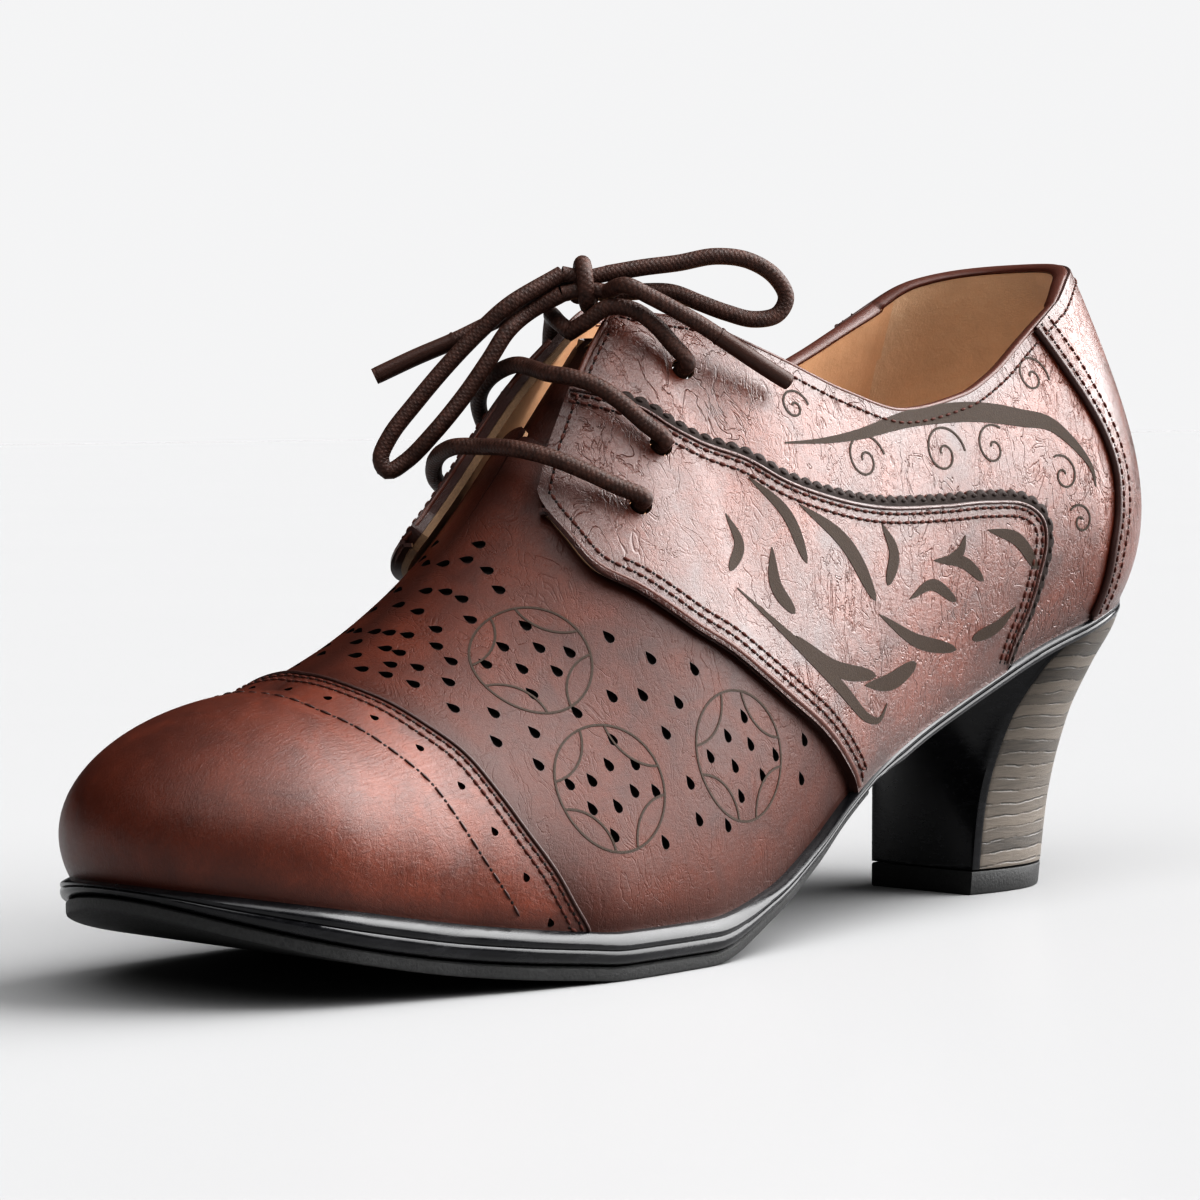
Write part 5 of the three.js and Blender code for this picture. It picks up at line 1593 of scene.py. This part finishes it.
def strip_edge(side):
    return kept(side, STRIP_LINE[::2], PANEL, True)


def across_toe(s, v, distance):
    """A line at a distance in front of the cap's edge, over the crown of the toe."""
    s, v = evened(s, v, OVERLAY, False, 260)
    p, out = skin(s, v, OVERLAY), form_normal(s, v)
    wanted = averaged(p, 4) + unit(averaged(unit(np.cross(out, np.gradient(p, axis=0))), 14)) * distance
    stations, rows = np.linspace(-1.6, 1.6, 260)[:, None], np.linspace(0.05, 1, 160)[None, :]
    cap, normals = skin(stations, rows, OVERLAY).reshape(-1, 3), form_normal(stations, rows).reshape(-1, 3)
    near = np.array([np.argmin(((cap - point) ** 2).sum(1)) for point in wanted])
    out = unit(averaged(normals[near], 3))
    drop = ((wanted - cap[near]) * out).sum(1)[:, None]
    line = averaged(wanted - drop * out, 3)
    high = line[:, 2] > FEATHER(line[:, 1]) + 1.0
    return line[high], out[high]


def make_cap_seams():
    edge = cap_edge_line()
    rows = [(drawn_in(*edge, OVERLAY, False, far), OVERLAY, False) for far in (1.1, 2.6)]
    stitching("cap_stitching", rows, 1.5, 0.6, 2.0)
    far = across_toe(*edge, 10.0)
    stitching("cap_line_stitching", [(far, None, False)], 2.5, 0.5, 3.3, "edge")
    beading("cap_edge_cord", drawn_in(*edge, OVERLAY, False, 0.1), OVERLAY, False, 0.32, "edge")


def make_quarter_seams(side, word):
    flap, front = quarter_edge(side)
    inset, past = side, -side
    whole = np.concatenate([flap[0], front[0]]), np.concatenate([flap[1], front[1]])
    nose = skin(side * np.array([quarter_first(side)]), front[1][:1], OVERLAY, True)
    clear = np.linalg.norm(skin(*whole, OVERLAY, True) - nose, axis=1) > 1.5
    whole = whole[0][clear], whole[1][clear]
    beading(f"front_roll_{word}", drawn_in(*whole, OVERLAY, True, inset * 0.5), OVERLAY, True, [0.6, 0.6, 0.7, 0.85, 0.85], "rolled", 0.36)
    lower = between(evened(*whole, PANEL, True, 600), 0.13, 1.0)
    upper = between(evened(*whole, OVERLAY, True, 600), 0.0, 0.11)
    double = between(evened(*whole, PANEL, True, 600), 0.46, 1.0)
    rows = [(drawn_in(*lower, PANEL, True, inset * 2.1), PANEL, True), (drawn_in(*double, PANEL, True, inset * 3.7), PANEL, True)]
    rows.append((drawn_in(*upper, OVERLAY, True, inset * 2.1), OVERLAY, True))
    stitching(f"front_stitching_{word}", rows)
    panel = panel_edge(side)
    beading(f"panel_roll_{word}", drawn_in(*panel, PANEL, True, past * 0.3), PANEL, True, 0.34, "panel", 0.45)
    rows = [(drawn_in(*panel, PANEL, True, past * far), PANEL, True) for far in (1.3, 2.9)]
    stitching(f"panel_stitching_{word}", rows, 1.5, 0.7, 2.1)
    make_scallops(panel, side, word)
    collar = collar_edge(side)
    s, v = drawn_in(*collar, OVERLAY, True, past * 2.5)
    ahead = np.abs(s) < strip_front(0.97, side)
    strip = strip_edge(side)
    rows = [((s[ahead], v[ahead]), OVERLAY, True), ((s[~ahead], v[~ahead]), PANEL, True)]
    rows += [(drawn_in(*strip, PANEL, True, past * far), PANEL, True) for far in (1.7, 4.6)]
    stitching(f"collar_stitching_{word}", rows, 1.4, 0.55, 2.1)
    beading(f"strip_piping_{word}", strip, OVERLAY + 0.3, True, 0.75, "edge", 0.3)


def make_scallops(line, side, word):
    """The pinked trim that shows above the panel's edge."""
    s, v = evened(*line, OVERLAY, True, 760)
    p, out = skin(s, v, OVERLAY, True), form_normal(s, v)
    way = unit(np.cross(out, np.gradient(p, axis=0))) * side
    reach = np.concatenate([[0], np.cumsum(np.linalg.norm(np.diff(p, axis=0), axis=1))])
    wave = 1.15 + 1.0 * np.abs(np.sin(math.pi * reach / 2.7)) ** 0.7
    rows = []
    for far, lift in ((-0.4, 0.5), (0.3, 0.55), (0.65, 0.6), (0.88, 0.5), (1.0, 0.25)):
        a, b = settle(s, v, p + way * (wave * far if far > 0 else 0 * wave + far)[:, None], OVERLAY, True)
        rows.append(skin(a, b, OVERLAY + lift, True))
    trim = sheet(f"scalloped_trim_{word}", np.array(rows))
    apply_modifier(trim, "wall", "SOLIDIFY", thickness=0.3 * MM, offset=0)
    outward(trim)
    paint(trim, finish("gimp"))
    smooth(trim)
    put(trim, "upper_leather")
    middle = drawn_in(s, v, OVERLAY, True, side * 1.15)
    places = spaced(middle, OVERLAY + 0.72, True, 2.7)
    put(repeated(f"trim_knots_{word}", [places], (1.5, 0.8, 0.5), finish("gimp")), "upper_leather")


def stroke(s, v, widths, offset, flared, lift=0.05):
    """A flush band of changing width along a line on the skin."""
    p, out = skin(s, v, offset, flared), form_normal(s, v)
    across = np.cross(out, unit(np.gradient(p, axis=0)))
    n, parts = len(s), (-0.5, 0.0, 0.5)
    wanted = np.concatenate([p + across * (widths * part)[:, None] for part in parts])
    a, b = settle(np.tile(s, 3), np.tile(v, 3), wanted, offset, flared)
    return skin(a, b, offset + lift, flared).reshape(3, n, 3)


def band(name, strips):
    """Thin closed bands from rows of points."""
    obj = joined(name, [sheet("stroke", strip) for strip in strips])
    apply_modifier(obj, "wall", "SOLIDIFY", thickness=0.06 * MM, offset=0)
    outward(obj)
    paint(obj, finish("ornament"))
    smooth(obj, 60)
    put(obj, "upper_leather")


LEAVES = [
    # from, bow, to as places along and up; widest in millimetres
    [[-0.027, 0.614], [-0.022, 0.57], [-0.037, 0.534], 2.7], [[0.001, 0.664], [0.027, 0.61], [0.038, 0.54], 3.0],
    [[0.041, 0.624], [0.082, 0.565], [0.109, 0.481], 3.9], [[0.007, 0.565], [0.004, 0.51], [0.018, 0.47], 3.4],
    [[0.124, 0.592], [0.134, 0.548], [0.124, 0.502], 3.4], [[0.217, 0.57], [0.21, 0.545], [0.193, 0.53], 2.6],
    [[0.18, 0.535], [0.213, 0.53], [0.236, 0.501], 2.8], [[0.242, 0.577], [0.275, 0.56], [0.298, 0.515], 3.3],
    [[0.149, 0.48], [0.177, 0.499], [0.205, 0.473], 2.7], [[0.112, 0.461], [0.155, 0.42], [0.208, 0.4], 3.2],
    [[0.276, 0.459], [0.255, 0.43], [0.226, 0.414], 3.0], [[0.016, 0.439], [0.055, 0.39], [0.106, 0.372], 3.6],
    [[0.092, 0.36], [0.125, 0.362], [0.158, 0.385], 4.2],
]
LONG_STROKES = [
    [[[0.044, 0.712], [0.08, 0.714], [0.118, 0.722], [0.18, 0.745], [0.248, 0.754], [0.3, 0.744], [0.332, 0.732], [0.366, 0.669], [0.369, 0.637]], 3.6],
    [[[-0.034, 0.51], [0.01, 0.437], [0.06, 0.363], [0.095, 0.313], [0.112, 0.308], [0.121, 0.33]], 2.2],
]
CURLS = [
    # centre, outer radius in millimetres, start angle and turns
    [0.062, 0.764, 3.4, 2.6, -1.4], [0.121, 0.686, 5.2, 3.3, -1.5], [0.208, 0.693, 5.6, 3.2, -1.5],
    [0.262, 0.7, 4.6, 2.8, -1.3], [0.335, 0.656, 4.0, 0.2, 1.3], [0.322, 0.807, 4.4, 3.0, -1.5], [0.35, 0.585, 3.4, 0.6, 1.3],
]


def leaf_widths(n, widest):
    t = np.linspace(0, 1, n)
    return 0.12 + widest * (t ** 0.9) * (1 - t) ** 0.55 * 2.05


def make_ornament(side, word):
    strips = []
    for first, bow, last, widest in LEAVES:
        s, v = on_side(side, spline(shares([first, bow, last]), 24), PANEL, True)
        strips.append(stroke(s, v, leaf_widths(24, widest), PANEL, True))
    for rows, widest in LONG_STROKES:
        offset = OVERLAY if rows[0][1] > 0.6 else PANEL
        s, v = on_side(side, spline(shares(rows), 90), offset, True)
        t = np.linspace(0, 1, 90)
        strips.append(stroke(s, v, 0.3 + widest * np.sin(math.pi * t ** 1.3) ** 0.9, offset, True))
    for along, share, radius, start, turns in CURLS:
        t = np.linspace(0, 1, 60)
        angle = start + turns * 2 * math.pi * t
        reach = radius * (0.12 + 0.88 * t ** 1.2)
        rows = shares([[along, share]]) + np.stack([np.cos(angle) * reach, np.sin(angle) * reach], -1)
        s, v = on_side(side, rows, OVERLAY, True)
        strips.append(stroke(s, v, np.full(60, 0.42), OVERLAY, True))
    band(f"ornament_{word}", strips)
    strips = []
    for along, share, radius in RINGS:
        centre, back, up, out = local_axes(side * float(station(along)), share)
        loops = []
        turn = np.linspace(0, 2 * math.pi, 97)
        loops.append(np.stack([np.cos(turn), np.sin(turn)], -1) * radius)
        for k in range(4):
            middle = math.radians(45 + 90 * k)
            away = 1.42 * radius * np.array((math.cos(middle), math.sin(middle)))
            half = math.radians(33)
            arc = middle + math.pi + np.linspace(-half, half, 30) * 1.25
            loops.append(away + 0.78 * radius * np.stack([np.cos(arc), np.sin(arc)], -1))
        for loop in loops:
            loop = loop[np.hypot(loop[:, 0], loop[:, 1]) <= radius * 1.001]
            wanted = centre + loop[:, :1] * back + loop[:, 1:] * up
            n = len(wanted)
            s, v = settle(np.full(n, side * float(station(along))), np.full(n, share), wanted, 0.0)
            strips.append(stroke(s, v, np.full(n, 0.42), 0.0, False))
    band(f"ring_lines_{word}", strips)


def make_seams(sizes):
    make_cap_seams()
    for side, word in ((1, "outer"), (-1, "inner")):
        make_quarter_seams(side, word)


def make_ornaments(sizes):
    for side, word in ((1, "outer"), (-1, "inner")):
        make_ornament(side, word)


# Studio -----------------------------------------------------------------------------

def aim(obj, target):
    way = Vector(target) - obj.location
    obj.rotation_euler = way.to_track_quat("-Z", "Y").to_euler()


def softbox(name, place_, target, size, power, tint=(1, 1, 1)):
    bpy.ops.object.light_add(type="AREA", location=place_)
    light = bpy.context.object
    light.name = name
    light.data.shape = "RECTANGLE"
    light.data.size, light.data.size_y = size
    light.data.energy = power
    light.data.color = tint
    aim(light, target)


def window(name, way, strength, spread):
    """Even light from a wide far-off patch of sky."""
    bpy.ops.object.light_add(type="SUN", location=Vector(way).normalized() * 2.0)
    light = bpy.context.object
    light.name = name
    light.data.energy = strength
    light.data.angle = math.radians(spread)
    aim(light, (0, 0, 0))


def make_stage(settings, colours):
    deselect()
    bpy.ops.mesh.primitive_grid_add(x_subdivisions=24, y_subdivisions=24, size=60.0)
    floor = bpy.context.object
    floor.name = "studio_floor"
    paint(floor, finish("floor"))
    camera = bpy.data.objects.new("photo_camera", bpy.data.cameras.new("photo_camera"))
    bpy.context.collection.objects.link(camera)
    camera.data.sensor_width = 36.0
    camera.data.lens = 36.0 * 3749.5 / 1200.0
    camera.data.clip_end = 80.0
    eye, target = Vector((468.5, -491.8, 91.2)) * MM, Vector((-6.05, -8.52, 60.22)) * MM
    forward = (target - eye).normalized()
    right = forward.cross(Vector((0, 0, 1))).normalized()
    up = right.cross(forward)
    roll = math.radians(-0.671)
    side = math.cos(roll) * right + math.sin(roll) * up
    head = -math.sin(roll) * right + math.cos(roll) * up
    camera.matrix_world = Matrix.Translation(eye) @ Matrix((side, head, -forward)).transposed().to_4x4()
    bpy.context.scene.camera = camera
    window("window_light", (0.46, 0.7, 0.5), 7.2, 70)
    window("skylight", (0.37, 0.2, 0.9), 1.9, 52)
    window("front_fill", (0.3, -0.55, 0.78), 1.5, 50)
    window("ceiling_light", (0.1, 0.15, 1.0), 0.5, 110)
    world = bpy.data.worlds.new("studio")
    bpy.context.scene.world = world
    world.use_nodes = True
    tree = world.node_tree
    tree.nodes["Background"].inputs[0].default_value = (0.88, 0.88, 0.885, 1)
    path = add(tree, "ShaderNodeLightPath")
    fill = ramp(tree, path.outputs["Is Glossy Ray"], 0.0, 1.0, 0.14, 0.03)
    seen = maths(tree, "MULTIPLY", path.outputs["Is Camera Ray"], 0.73)
    tree.links.new(maths(tree, "MAXIMUM", seen, fill), tree.nodes["Background"].inputs[1])
    bpy.context.scene.view_settings.view_transform = "Standard"
    bpy.context.scene.view_settings.look = "High Contrast"


# Add-on -----------------------------------------------------------------------------

def length_property(name, words, default):
    return bpy.props.FloatProperty(name=name, description=words, default=default, subtype="DISTANCE", unit="LENGTH")


def colour_property(name, words, default):
    return bpy.props.FloatVectorProperty(name=name, description=words, default=default, subtype="COLOR", size=3, min=0, max=1)


class ShoeSizes(bpy.types.PropertyGroup):
    lace_diameter: length_property("Lace", "Diameter of the waxed cord", 0.003)
    perforation: length_property("Perforation", "Length of a teardrop hole", 0.0027)


class ShoeColours(bpy.types.PropertyGroup):
    leather: colour_property("Leather", "The leather where it is lightest", (0.165, 0.036, 0.0145))
    # The dark tone is both the burnished leather and the painted shade towards the toe, under overlapping parts and in
    # creases
    burnish_and_shade: colour_property("Burnish", "The leather where it is burnished", (0.045, 0.0095, 0.0045))
    edge: colour_property("Edge", "Dyed edges and piping", (0.045, 0.016, 0.012))
    lining: colour_property("Lining", "Lining leather", (0.74, 0.48, 0.3))
    nap: colour_property("Heel nap", "Brushed lining at the heel", (0.7, 0.5, 0.33))
    gimp: colour_property("Scalloped trim", "Trim above the lower panel", (0.03, 0.02, 0.017))
    sole: colour_property("Sole", "Polished sole edge and heel breast", (0.006, 0.006, 0.007))
    rubber: colour_property("Rubber", "Tread and top lift", (0.012, 0.012, 0.012))
    stack: colour_property("Heel layers", "Light layers of the heel", (0.125, 0.104, 0.084))
    stack_dark: colour_property("Dark heel layers", "Dark layers of the heel", (0.04, 0.033, 0.027))
    cord: colour_property("Lace", "Waxed cord", (0.075, 0.032, 0.022))
    thread: colour_property("Thread", "Seam thread", (0.09, 0.03, 0.022))
    ornament: colour_property("Ornament", "Burnt lines, leaves and curls", (0.052, 0.036, 0.027))
    floor: colour_property("Floor", "Studio floor", (0.277, 0.277, 0.279))


def shoe_operator(idname, label, words, work):
    """An operator that makes one group of pieces."""
    def execute(self, context):
        work(context.scene.shoe_sizes)
        return {"FINISHED"}
    return type("SHOE_OT_" + idname, (bpy.types.Operator,), {
        "bl_idname": "shoe." + idname, "bl_label": label, "__doc__": words, "execute": execute,
    })


OPERATORS = [
    shoe_operator("stage", "Studio", "Adds the floor, the lights and the camera", lambda sizes: make_stage(sizes, None)),
    shoe_operator("laces", "Laces", "Makes the cord bars, the knot and the bow", make_laces),
    shoe_operator("vamp", "Vamp and toe cap", "Makes the perforated vamp and the toe cap", make_vamp),
    shoe_operator("quarters", "Quarters", "Makes the quarters, panels, back strip and binding", make_quarters),
    shoe_operator("seams", "Seams and trim", "Makes the stitching, rolled edges, piping and scalloped trim", make_seams),
    shoe_operator("ornament", "Ornament", "Makes the ring lines, leaves and curls", make_ornaments),
    shoe_operator("tongue", "Tongue", "Makes the tongue", make_tongue),
    shoe_operator("insole", "Insole", "Makes the insole", make_insole),
    shoe_operator("sole", "Sole", "Makes the sole edge and the tread", make_sole),
    shoe_operator("heel", "Heel", "Makes the heel block, its wrap and the top lift", make_heel),
]


class SHOE_PT_panel(bpy.types.Panel):
    bl_label = "Shoe"
    bl_idname = "SHOE_PT_panel"
    bl_space_type = "VIEW_3D"
    bl_region_type = "UI"
    bl_category = "Shoe"

    def draw(self, context):
        for group in (context.scene.shoe_sizes, context.scene.shoe_colours):
            for name in group.bl_rna.properties.keys():
                if name not in ("rna_type", "name"):
                    self.layout.prop(group, name)
        for operator in OPERATORS:
            self.layout.operator(operator.bl_idname)


CLASSES = [ShoeSizes, ShoeColours, *OPERATORS, SHOE_PT_panel]


def register():
    for item in CLASSES:
        bpy.utils.register_class(item)
    bpy.types.Scene.shoe_sizes = bpy.props.PointerProperty(type=ShoeSizes)
    bpy.types.Scene.shoe_colours = bpy.props.PointerProperty(type=ShoeColours)


def unregister():
    del bpy.types.Scene.shoe_sizes
    del bpy.types.Scene.shoe_colours
    for item in reversed(CLASSES):
        bpy.utils.unregister_class(item)


def main():
    register()
    for operator in OPERATORS:
        name = operator.bl_idname.split(".")[1]
        getattr(bpy.ops.shoe, name)()


if __name__ == "__main__":
    main()
